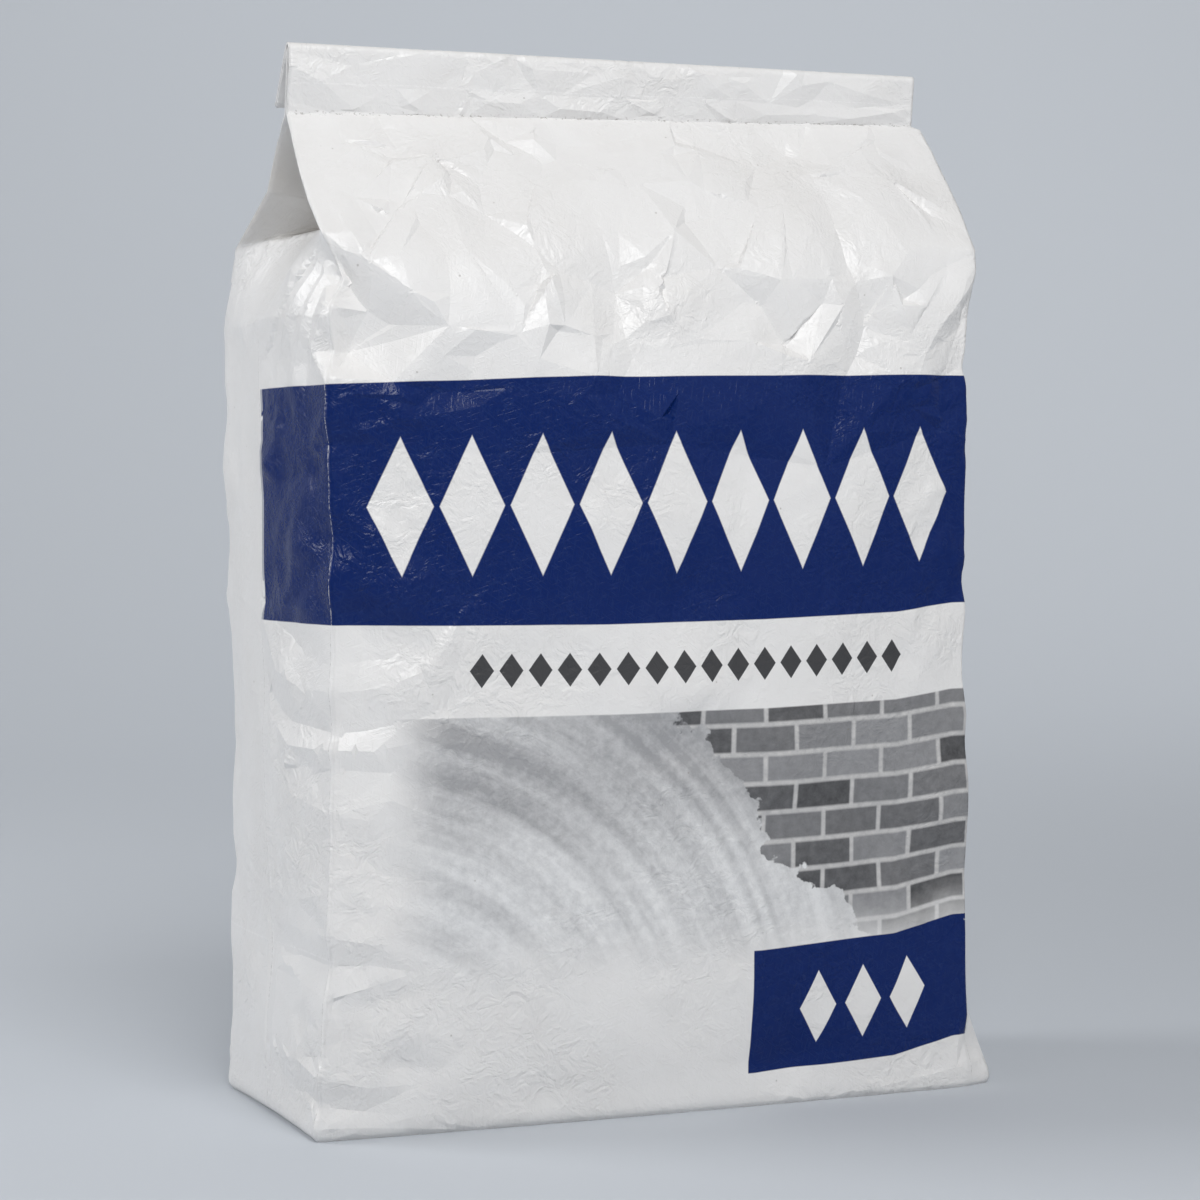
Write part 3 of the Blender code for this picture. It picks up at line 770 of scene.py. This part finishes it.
def print_place(corners):
    """The place on the flat print of each (u, v): v less the lift, bilinear between its values."""
    u, v = corners.T
    rows = [np.interp(u, PRINT_U, row) for row in PRINT_LIFT]
    lift = np.zeros(len(u))
    for k in range(len(PRINT_V) - 1):
        share = np.clip((v - PRINT_V[k]) / (PRINT_V[k + 1] - PRINT_V[k]), 0, 1)
        lift = np.where(v >= PRINT_V[k], rows[k] + (rows[k + 1] - rows[k]) * share, lift)
    return np.stack([u, v - lift], axis=-1)


def grid_mesh(name, points, u, v, folds=None):
    """A mesh of the grid, closed round its columns, with n-gons over its first and last rows
    and the sheet's own coordinates (u, v), in decimetres, as its UV maps.

    Each cell is two triangles, parted along a fold where one runs from corner to corner. Edges
    between two marked places are sharp."""
    rows, columns = points.shape[:2]
    wide = columns + 1
    index = np.arange(rows * wide).reshape(rows, wide)
    a, b, c, d = index[:-1, :-1], index[:-1, 1:], index[1:, 1:], index[1:, :-1]
    if folds is None:
        folds = np.zeros((rows, columns), bool)
    mark = np.concatenate([folds, folds[:, :1]], axis=1).ravel()
    other = (mark[b] & mark[d] & ~(mark[a] & mark[c]))[..., None]
    low = np.where(other, np.stack([a, b, d], axis=-1), np.stack([a, b, c], axis=-1))
    high = np.where(other, np.stack([b, c, d], axis=-1), np.stack([a, c, d], axis=-1))
    faces = np.stack([low, high], axis=2).reshape(-1, 3)
    ends = [index[0, :-1][::-1], index[-1, :-1]]
    real = (np.arange(wide) % columns + np.arange(rows)[:, None] * columns).ravel()
    mesh = bpy.data.meshes.new(name)
    mesh.from_pydata(
        ((points - BOX_CENTRE).reshape(-1, 3) * MM).tolist(), [],
        real[faces].tolist() + [real[end].tolist() for end in ends],
    )
    sheet = np.stack([u, v], axis=-1)
    seam = sheet[:, :1] * (0, 1) + sheet[:, -1:] * (1, 0) + (0.01, 0)
    corners = np.concatenate([sheet, seam], axis=1).reshape(-1, 2)
    corners = corners[np.concatenate([faces.ravel(), *ends])]
    for map_name, values in (("sheet", corners), ("print", print_place(corners))):
        layer = mesh.uv_layers.new(name=map_name)
        layer.data.foreach_set("uv", (values / 100).astype(np.float32).ravel())
    edges = np.empty(len(mesh.edges) * 2, np.int32)
    mesh.edges.foreach_get("vertices", edges)
    flat_mark = folds.ravel()[edges.reshape(-1, 2)].all(axis=1)
    mesh.polygons.foreach_set("use_smooth", np.ones(len(mesh.polygons), bool))
    mesh.edges.foreach_set("use_edge_sharp", flat_mark)
    mesh.validate()
    mesh.update()
    obj = bpy.data.objects.new(name, mesh)
    bpy.context.scene.collection.objects.link(obj)
    return obj


class Nodes:
    """Short forms for building a material's nodes."""

    def __init__(self, name):
        self.material = bpy.data.materials.new(name)
        self.material.use_nodes = True
        self.tree = self.material.node_tree
        self.shader = self.tree.nodes["Principled BSDF"]

    def new(self, kind, **sockets):
        node = self.tree.nodes.new(kind)
        for key, value in sockets.items():
            self.put(node.inputs[key.replace("_", " ")], value)
        return node

    def put(self, socket, value):
        if isinstance(value, bpy.types.NodeSocket):
            self.tree.links.new(value, socket)
        else:
            socket.default_value = value

    def math(self, operation, *values, clamp=False):
        node = self.tree.nodes.new("ShaderNodeMath")
        node.operation = operation
        node.use_clamp = clamp
        for socket, value in zip(node.inputs, values):
            self.put(socket, value)
        return node.outputs[0]

    def mix(self, share, first, second):
        node = self.tree.nodes.new("ShaderNodeMix")
        node.data_type = "RGBA"
        self.put(node.inputs["Factor"], share)
        self.put(node.inputs["A"], first)
        self.put(node.inputs["B"], second)
        return node.outputs["Result"]

    def step(self, value, edge, soft=0.0008):
        """0 below the edge and 1 above it."""
        node = self.tree.nodes.new("ShaderNodeMapRange")
        node.clamp = True
        self.put(node.inputs["Value"], value)
        self.put(node.inputs["From Min"], edge - soft)
        self.put(node.inputs["From Max"], edge + soft)
        return node.outputs["Result"]

    def ramp(self, value, start, end):
        """0 at the start and 1 at the end, smooth between them."""
        node = self.tree.nodes.new("ShaderNodeMapRange")
        node.interpolation_type = "SMOOTHSTEP"
        self.put(node.inputs["Value"], value)
        self.put(node.inputs["From Min"], start)
        self.put(node.inputs["From Max"], end)
        return node.outputs["Result"]

    def join(self, *values):
        node = self.tree.nodes.new("ShaderNodeCombineXYZ")
        for socket, value in zip(node.inputs, values):
            self.put(socket, value)
        return node.outputs[0]

    def vector(self, operation, *values, scale=None):
        node = self.tree.nodes.new("ShaderNodeVectorMath")
        node.operation = operation
        for socket, value in zip(node.inputs, values):
            self.put(socket, value)
        if scale is not None:
            node.inputs["Scale"].default_value = scale
        return node.outputs[0]

    def uv(self, name):
        """A UV map's two coordinates."""
        node = self.tree.nodes.new("ShaderNodeUVMap")
        node.uv_map = name
        split = self.tree.nodes.new("ShaderNodeSeparateXYZ")
        self.tree.links.new(node.outputs[0], split.inputs[0])
        return split.outputs[0], split.outputs[1]

    def inside(self, value, low, high):
        return self.math("MULTIPLY", self.step(value, low), self.math("SUBTRACT", 1.0, self.step(value, high)))


PAPER_WHITE = (0.83, 0.82, 0.81, 1)
PAPER_GREY = (0.74, 0.72, 0.70, 1)
# Painted shade colour for the recesses under the roof
RECESS_SHADE_GREY = (0.56, 0.52, 0.47, 1)
# Crease colour: cracked coating on the print, painted highlight on the white paper
CRACK_AND_HIGHLIGHT_WHITE = (0.92, 0.91, 0.90, 1)
INK_BLUE = (0.0008, 0.015, 0.112, 1)
INK_RUBBED = (0.06, 0.11, 0.27, 1)
INK_GREY = (0.045, 0.045, 0.048, 1)
# Dark brown for dirt specks, also used for painted shadow lines
DIRT_AND_SHADOW_BROWN = (0.22, 0.19, 0.16, 1)
PICTURE_DARK = (0.055, 0.055, 0.058, 1)
PICTURE_GREY = (0.36, 0.36, 0.37, 1)
PICTURE_WHITE = (0.80, 0.80, 0.80, 1)

# The print, in decimetres like the UV map
BAND = (0.86, 1.27)
LABEL_U = (0.165, 0.605)
LABEL_V = (0.065, 0.28)
PICTURE_U = (-0.52, 0.61)
PICTURE_V = (0.24, 0.705)

# The glued laps, in decimetres too, and their step as a share of the bump's distance
LAP_U = (1.60, 1.71)
LAP_EDGE = 0.22
LAP_STEP = 0.35


def lozenge_row(n, u, v, start, end, count, middle, height, fill):
    """A row of plain lozenges: 1 where |x| / half width + |y| / half height is under 1."""
    pitch = (end - start) / count
    place = n.math("DIVIDE", n.math("SUBTRACT", u, start), pitch)
    x = n.math("ABSOLUTE", n.math("SUBTRACT", n.math("FRACT", place), 0.5))
    y = n.math("ABSOLUTE", n.math("DIVIDE", n.math("SUBTRACT", v, middle), height / 2))
    reach = n.math("ADD", n.math("DIVIDE", x, fill / 2), y)
    shape = n.math("SUBTRACT", 1.0, n.step(reach, 1.0, 0.02))
    return n.math("MULTIPLY", shape, n.inside(u, start, end))


def wall_picture(n, u, v, paper):
    """A grey picture of a brick wall with a fresh coat of plaster trowelled over half of it."""
    course = 0.052
    row = n.math("DIVIDE", v, course)
    shift = n.math("MULTIPLY", n.math("FLOOR", row), 0.5)
    column = n.math("ADD", n.math("DIVIDE", u, course * 2.3), shift)
    joint_v = n.math("ABSOLUTE", n.math("SUBTRACT", n.math("FRACT", row), 0.5))
    joint_u = n.math("ABSOLUTE", n.math("SUBTRACT", n.math("FRACT", column), 0.5))
    brick = n.math("MULTIPLY", n.math("SUBTRACT", 1.0, n.step(joint_v, 0.42, 0.04)),
                   n.math("SUBTRACT", 1.0, n.step(joint_u, 0.465, 0.015)))
    cell = n.join(n.math("FLOOR", column), n.math("FLOOR", row), 0.0)
    tone = n.new("ShaderNodeTexWhiteNoise", Vector=cell).outputs["Value"]
    flat = n.join(u, v, 0.0)
    grain = n.new("ShaderNodeTexNoise", Vector=flat, Scale=55.0, Detail=3.0, Roughness=0.7).outputs["Fac"]
    shade = n.math("ADD", n.math("MULTIPLY", tone, 0.8), n.math("MULTIPLY", grain, 0.5))
    shade = n.math("SUBTRACT", shade, 0.22, clamp=True)
    bricks = n.mix(shade, PICTURE_DARK, PICTURE_GREY)
    wall = n.mix(brick, n.mix(grain, PICTURE_GREY, PAPER_GREY), bricks)
    edge = n.new("ShaderNodeTexNoise", Vector=flat, Scale=7.0, Detail=5.0, Roughness=0.6).outputs["Fac"]
    climb = n.math("ADD", n.math("MULTIPLY", u, 0.9), n.math("MULTIPLY", v, 0.75))
    cover = n.step(n.math("ADD", climb, n.math("MULTIPLY", edge, 0.34)), 0.72, 0.004)
    sweep = n.math("SQRT", n.math("ADD", n.math("POWER", n.math("ADD", u, 0.55), 2.0),
                                  n.math("POWER", n.math("SUBTRACT", v, 0.05), 2.0)))
    ridge = n.new("ShaderNodeTexNoise", Vector=n.join(n.math("MULTIPLY", sweep, 30.0), n.math("MULTIPLY", u, 1.6), 0.0),
                  Scale=1.0, Detail=4.0).outputs["Fac"]
    light = n.math("ADD", n.math("MULTIPLY", ridge, 1.6), n.math("MULTIPLY", grain, 0.9))
    light = n.math("SUBTRACT", light, n.math("ADD", 0.50, n.math("MULTIPLY", n.ramp(v, 0.40, 0.64), 0.62)), clamp=True)
    coat = n.mix(light, PICTURE_GREY, PICTURE_WHITE)
    picture = n.mix(cover, coat, wall)
    fade_u = n.ramp(u, PICTURE_U[0], PICTURE_U[0] + 0.13)
    fade_v = n.ramp(n.math("ADD", v, n.math("MULTIPLY", edge, 0.10)), PICTURE_V[0] + 0.04, PICTURE_V[0] + 0.17)
    top = n.math("SUBTRACT", 1.0, n.step(v, PICTURE_V[1], 0.002))
    right = n.math("SUBTRACT", 1.0, n.step(u, PICTURE_U[1], 0.002))
    show = n.math("MULTIPLY", n.math("MULTIPLY", fade_u, fade_v), n.math("MULTIPLY", top, right))
    return n.mix(show, paper, picture)


def fibres(n, place):
    """Short crossing fibres: noise drawn out in three directions, its thin peaks kept."""
    found = None
    for k, turn in enumerate((0.3, 1.4, 2.5)):
        turned = n.new("ShaderNodeMapping", Vector=place)
        turned.vector_type = "TEXTURE"
        turned.inputs["Location"].default_value = (3.1 * k, 1.7 * k, 0.4 * k)
        turned.inputs["Rotation"].default_value = (0, 0, turn)
        turned.inputs["Scale"].default_value = (1 / 45, 1 / 330, 1 / 60)
        streak = n.new("ShaderNodeTexNoise", Vector=turned.outputs[0], Scale=1.0, Detail=0.0).outputs["Fac"]
        peak = n.ramp(streak, 0.60, 0.74)
        found = peak if found is None else n.math("MAXIMUM", found, peak)
    return found


def thin_line(n, value, at, width, along, low, high):
    """1 within the width of a line where the value is `at`, as far as `along` lies between two ends."""
    away = n.math("ABSOLUTE", n.math("SUBTRACT", value, at))
    near = n.math("SUBTRACT", 1.0, n.step(away, width, width * 0.6))
    return n.math("MULTIPLY", near, n.inside(along, low, high))


def crease_lines(n, u, v, waver, dots):
    """The machine-made creases of the sheet: light lines where the coating has cracked along them on the print, which
    on the white paper are a painted highlight along the folds; and a painted shadow, a thin dark line next to the
    upright ones."""
    bent_u = n.math("ADD", n.math("ABSOLUTE", u), n.math("MULTIPLY", waver, 0.010))
    bent_v = n.math("ADD", v, n.math("MULTIPLY", waver, 0.020))
    folds = thin_line(n, bent_u, 0.603, 0.0012, v, 0.02, 1.44)
    middle = thin_line(n, bent_u, 0.883, 0.0012, v, 0.03, 1.42)
    strip = thin_line(n, bent_v, 1.842, 0.0012, n.math("ABSOLUTE", u), -1.0, 0.595)
    shelf = thin_line(n, bent_v, 1.516, 0.0018, n.math("ABSOLUTE", u), 0.64, 1.15)
    foot = thin_line(n, bent_v, 0.306, 0.0014, n.math("ABSOLUTE", u), 0.595, 1.16)
    whole = n.math("MAXIMUM", n.math("MAXIMUM", folds, middle), n.math("MAXIMUM", strip, shelf))
    pale = n.math("MULTIPLY", n.math("MAXIMUM", whole, foot), n.ramp(dots, 0.38, 0.60))
    # Painted shadow: thin dark lines next to the front fold and the gusset's middle crease
    beside = n.math("MAXIMUM", thin_line(n, bent_u, 0.6065, 0.0014, v, 0.02, 0.85),
                    thin_line(n, bent_u, 0.8865, 0.0014, v, 0.03, 1.42))
    return pale, n.math("MULTIPLY", beside, n.ramp(dots, 0.40, 0.66))


def crinkle(n, place, scale, detail):
    """Fine creased relief: how far a noise is from its middle value, so that it has sharp valleys."""
    noise = n.new("ShaderNodeTexNoise", Vector=place, Scale=scale, Detail=detail, Roughness=0.62, Distortion=0.6)
    return n.math("ABSOLUTE", n.math("SUBTRACT", noise.outputs["Fac"], 0.5))


def pasted_laps(n, u, v):
    """1 where the sheet lies double: a glued lap up the back, and the block bottom's two long
    flaps over its end flaps, with the front flap's free edge past the middle."""
    away = n.math("ABSOLUTE", u)
    under = n.math("SUBTRACT", 1.0, n.step(v, 0.0, 0.003))
    back = n.math("MULTIPLY", n.inside(u, *LAP_U), n.step(v, 0.0, 0.003))
    ends = n.inside(away, FRONT_FOLD / 100, BACK_FOLD / 100)
    behind = n.math("MULTIPLY", n.step(away, BACK_FOLD / 100), n.step(v, -LAP_EDGE))
    return n.math("ADD", back, n.math("MULTIPLY", under, n.math("SUBTRACT", 1.0, n.math("ADD", ends, behind))))


def paper_material():
    n = Nodes("coated_white_paper")
    u, v = n.uv("print")
    sheet_u, sheet_v = n.uv("sheet")
    place = n.join(sheet_u, sheet_v, 0.0)
    mottle = n.new("ShaderNodeTexNoise", Vector=place, Scale=9.0, Detail=3.0, Roughness=0.65).outputs["Fac"]
    stain = n.new("ShaderNodeTexNoise", Vector=place, Scale=3.4, Detail=1.0, Roughness=0.6).outputs["Fac"]
    fine = n.new("ShaderNodeTexNoise", Vector=place, Scale=160.0, Detail=1.0, Roughness=0.7).outputs["Fac"]
    fibre = fibres(n, place)
    wear = n.new("ShaderNodeAttribute")
    wear.attribute_name = "fold_wear"
    folded = wear.outputs["Fac"]

    shade = n.ramp(n.math("ADD", n.math("MULTIPLY", mottle, 0.5), n.math("MULTIPLY", stain, 0.5)), 0.36, 0.68)
    paper = n.mix(n.math("MULTIPLY", shade, 0.35), PAPER_WHITE, PAPER_GREY)
    # Painted shade: the recesses under the roof are darkened towards a warm grey
    recess_shade = n.math("MULTIPLY", n.inside(n.math("ABSOLUTE", sheet_u), 0.64, 1.16),
                    n.math("MULTIPLY", n.ramp(sheet_v, 1.50, 1.53), n.math("SUBTRACT", 1.0, n.ramp(sheet_v, 1.66, 1.80))))
    paper = n.mix(n.math("MULTIPLY", recess_shade, n.math("ADD", 0.25, n.math("MULTIPLY", mottle, 0.5))), paper, RECESS_SHADE_GREY)

    picture = wall_picture(n, u, v, paper)
    on_front = n.math("MULTIPLY", n.inside(u, PICTURE_U[0], PICTURE_U[1]), n.inside(v, PICTURE_V[0], PICTURE_V[1]))
    colour = n.mix(on_front, paper, picture)
    small = lozenge_row(n, u, v, -0.37, 0.465, 16, 0.783, 0.058, 0.82)
    colour = n.mix(small, colour, INK_GREY)

    band = n.math("MULTIPLY", n.inside(v, *BAND), n.inside(sheet_u, -0.88, 0.88))
    label = n.math("MULTIPLY", n.inside(v, *LABEL_V), n.inside(u, *LABEL_U))
    lozenges = n.math("MAXIMUM", lozenge_row(n, u, v, -0.545, 0.56, 9, 1.06, 0.235, 0.92),
                      lozenge_row(n, u, v, 0.25, 0.52, 3, 0.17, 0.125, 0.80))
    ink = n.math("SUBTRACT", n.math("MAXIMUM", band, label), lozenges, clamp=True)
    scuff = n.math("MULTIPLY", n.ramp(fine, 0.60, 0.78), n.ramp(mottle, 0.45, 0.7))
    folded = n.math("MULTIPLY", n.math("MULTIPLY", folded, 0.25), n.ramp(fine, 0.45, 0.7))
    rubbed = n.math("MAXIMUM", n.math("MULTIPLY", scuff, 0.4), folded, clamp=True)
    rubbed = n.math("MAXIMUM", rubbed, n.math("MULTIPLY", fibre, 0.10))
    blue = n.mix(n.math("MULTIPLY", rubbed, 0.6), INK_BLUE, INK_RUBBED)
    colour = n.mix(ink, colour, blue)

    # Light crease lines: cracked coating on the print and painted highlight on the white paper; then painted shadow
    # lines next to the upright folds
    crack_and_highlight_lines, fold_shadow = crease_lines(n, sheet_u, sheet_v, n.math("SUBTRACT", stain, 0.5), fine)
    colour = n.mix(n.math("MULTIPLY", crack_and_highlight_lines, 0.65), colour, CRACK_AND_HIGHLIGHT_WHITE)
    colour = n.mix(n.math("MULTIPLY", fold_shadow, 0.35), colour, DIRT_AND_SHADOW_BROWN)
    # Painted shadow with dirt: a broken dark line along the strip's lower edge
    strip_edge_shadow_and_dirt = thin_line(n, n.math("ADD", sheet_v, n.math("MULTIPLY", mottle, 0.012)), 1.797, 0.004,
                          n.math("ABSOLUTE", sheet_u), -1.0, 0.60)
    strip_edge_shadow_and_dirt = n.math("MULTIPLY", strip_edge_shadow_and_dirt, n.ramp(fine, 0.56, 0.68))
    colour = n.mix(n.math("MULTIPLY", strip_edge_shadow_and_dirt, 0.5), colour, DIRT_AND_SHADOW_BROWN)

    spots = n.new("ShaderNodeTexVoronoi", Vector=place, Scale=26.0)
    chance = n.step(n.new("ShaderNodeTexWhiteNoise", Vector=spots.outputs["Position"]).outputs["Value"], 0.80, 0.01)
    speck = n.math("SUBTRACT", 1.0, n.step(spots.outputs["Distance"], 0.045, 0.02))
    speck = n.math("MULTIPLY", n.math("MULTIPLY", speck, chance), n.math("SUBTRACT", 1.0, ink))
    colour = n.mix(n.math("MULTIPLY", speck, 0.45), colour, DIRT_AND_SHADOW_BROWN)
    n.put(n.shader.inputs["Base Color"], colour)

    rough = n.math("ADD", 0.24, n.math("MULTIPLY", mottle, 0.24))
    n.put(n.shader.inputs["Roughness"], n.math("SUBTRACT", rough, n.math("MULTIPLY", ink, 0.10)))
    n.put(n.shader.inputs["Specular IOR Level"], n.math("SUBTRACT", 0.55, n.math("MULTIPLY", ink, 0.33)))

    patchy = n.ramp(stain, 0.38, 0.62)
    relief = n.math("MULTIPLY", crinkle(n, place, 24.0, 3.0), n.math("ADD", 0.2, n.math("MULTIPLY", patchy, 0.8)))
    relief = n.math("ADD", relief, n.math("MULTIPLY", fibre, 0.02))
    relief = n.math("ADD", relief, n.math("MULTIPLY", pasted_laps(n, sheet_u, sheet_v), LAP_STEP))
    bump = n.new("ShaderNodeBump", Height=relief, Strength=1.0, Distance=0.0008)
    n.put(n.shader.inputs["Normal"], bump.outputs[0])
    return n.material


def plaster_material():
    n = Nodes("gypsum_powder")
    n.shader.inputs["Base Color"].default_value = (0.84, 0.83, 0.80, 1)
    n.shader.inputs["Roughness"].default_value = 0.95
    return n.material


def plain_material(name, colour, roughness):
    n = Nodes(name)
    n.shader.inputs["Base Color"].default_value = colour
    n.shader.inputs["Roughness"].default_value = roughness
    return n.material


def make_plaster():
    """The powder: the bag's own shape drawn in towards its middle, closed by a low mound."""
    inset = 5.5
    v = np.linspace(POWDER_FOOT, POWDER_TOP, 60)
    points, u = tube(LEVELS, v)
    centre = points.mean(axis=1, keepdims=True)
    away = (points - centre) * (1, 1, 0)
    away /= np.linalg.norm(away, axis=-1, keepdims=True)
    rim = points - inset * away
    share = np.linspace(0, 0.98, 24)[1:, None, None]
    middle = rim[-1].mean(axis=0) + np.array([0, 0, MOUND_RISE])
    height = np.sin(share * math.pi / 2)
    mound = rim[-1] + (middle - rim[-1]) * share * (1, 1, 0)
    mound = mound + (middle - rim[-1]) * height * (0, 0, 1)
    points = np.concatenate([rim, mound])
    grid_u, grid_v = np.meshgrid(u, np.concatenate([v, v[-1] + 28 * share[:, 0, 0]]))
    powder = grid_mesh("plaster_powder", points, grid_u, grid_v)
    powder.data.materials.append(plaster_material())
    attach(powder, "root")
    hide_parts("plaster_fill")


def make_bag():
    points, u, v, wear, folds = bag_surface()
    bag = grid_mesh("gusseted_paper_bag", points, u, v, folds)
    layer = bag.data.attributes.new("fold_wear", "FLOAT", "POINT")
    layer.data.foreach_set("value", wear.astype(np.float32).ravel())
    bag.data.materials.append(paper_material())
    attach(bag, "root")
    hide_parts("paper_bag")
    return bag


# Camera, found from the corners of the bag in the photograph
CAMERA_PLACE = Vector((-0.2243, -0.526, 0.1068)) - Vector(BOX_CENTRE) * MM
CAMERA_YAW = math.radians(23.21)
CAMERA_PITCH = math.radians(1.847)
CAMERA_ROLL = math.radians(-0.26)
CAMERA_LENS = 94.86


def make_camera():
    camera = bpy.data.cameras.new("camera")
    camera.lens = CAMERA_LENS
    camera.sensor_width = 36
    camera.clip_start = 0.01
    obj = bpy.data.objects.new("camera", camera)
    turn = Matrix.Rotation(-CAMERA_YAW, 4, "Z") @ Matrix.Rotation(math.pi / 2 - CAMERA_PITCH, 4, "X")
    obj.matrix_world = Matrix.Translation(CAMERA_PLACE) @ turn @ Matrix.Rotation(CAMERA_ROLL, 4, "Z")
    bpy.context.scene.collection.objects.link(obj)
    bpy.context.scene.camera = obj


def make_floor():
    """A pale sweep: a flat floor, then a quarter circle, then an upright wall."""
    across = np.linspace(-4, 4, 17)
    front, bend_start, radius, height = -2.0, 0.7, 1.2, 4.0
    turn = np.linspace(0, math.pi / 2, 33)
    y = np.concatenate([
        np.linspace(front, bend_start, 20)[:-1], bend_start + radius * np.sin(turn), [bend_start + radius]
    ])
    z = np.concatenate([np.zeros(19), radius * (1 - np.cos(turn)), [height]])
    grid_x, grid_y = np.meshgrid(across, y)
    grid_z = np.broadcast_to(z[:, None], grid_x.shape)
    points = np.stack([grid_x, grid_y, grid_z], axis=-1)
    rows, columns = points.shape[:2]
    index = np.arange(rows * columns).reshape(rows, columns)
    quads = np.stack([index[:-1, :-1], index[:-1, 1:], index[1:, 1:], index[1:, :-1]], axis=-1)
    mesh = bpy.data.meshes.new("floor")
    mesh.from_pydata(points.reshape(-1, 3).tolist(), [], quads.reshape(-1, 4).tolist())
    mesh.polygons.foreach_set("use_smooth", np.ones(len(mesh.polygons), bool))
    floor = bpy.data.objects.new("floor", mesh)
    bpy.context.scene.collection.objects.link(floor)
    mesh.materials.append(plain_material("pale_floor", (0.555, 0.585, 0.625, 1), 0.8))


def soft_light(name, place, target, size, power, colour=(1, 1, 1)):
    light = bpy.data.lights.new(name, "AREA")
    light.shape = "RECTANGLE"
    light.size, light.size_y = size
    light.energy = power
    light.color = colour
    obj = bpy.data.objects.new(name, light)
    place = Vector(place)
    obj.matrix_world = Matrix.Translation(place) @ (Vector(target) - place).to_track_quat("-Z", "Y").to_matrix().to_4x4()
    bpy.context.scene.collection.objects.link(obj)


def make_light():
    world = bpy.data.worlds.new("studio")
    world.use_nodes = True
    background = world.node_tree.nodes["Background"]
    background.inputs["Color"].default_value = (0.975, 0.985, 1.0, 1)
    background.inputs["Strength"].default_value = 1.0
    tree = world.node_tree
    place = tree.nodes.new("ShaderNodeTexCoord")
    split = tree.nodes.new("ShaderNodeSeparateXYZ")
    tree.links.new(place.outputs["Generated"], split.inputs[0])
    climb = tree.nodes.new("ShaderNodeMapRange")
    climb.inputs["From Min"].default_value = 0.0
    climb.inputs["To Min"].default_value = 0.39
    climb.inputs["To Max"].default_value = 0.37
    tree.links.new(split.outputs["Z"], climb.inputs["Value"])
    tree.links.new(climb.outputs["Result"], background.inputs["Strength"])
    bpy.context.scene.world = world
    soft_light("key", (-0.08, -0.50, 0.52), (0, -0.02, 0.1), (0.28, 0.22), 2.15)
    soft_light("left", (-0.57, 0.25, 0.34), (-0.04, 0, 0.06), (0.30, 0.30), 1.75)
    soft_light("floor_pool", (-0.12, -0.50, 0.36), (-0.12, -0.36, 0), (0.15, 0.15), 0.22)
    soft_light("right_sheen", (0.55, -0.9, 0.35), (0, 0, 0.1), (0.5, 0.7), 0.3)
    soft_light("backdrop", (0.85, 0.5, 1.2), (0.75, 1.9, 0.6), (2.0, 0.8), 13.0)


scene_view = bpy.context.scene.view_settings
scene_view.view_transform = "Standard"
scene_view.look = "None"

make_camera()
make_floor()
make_light()
make_bag()
make_plaster()
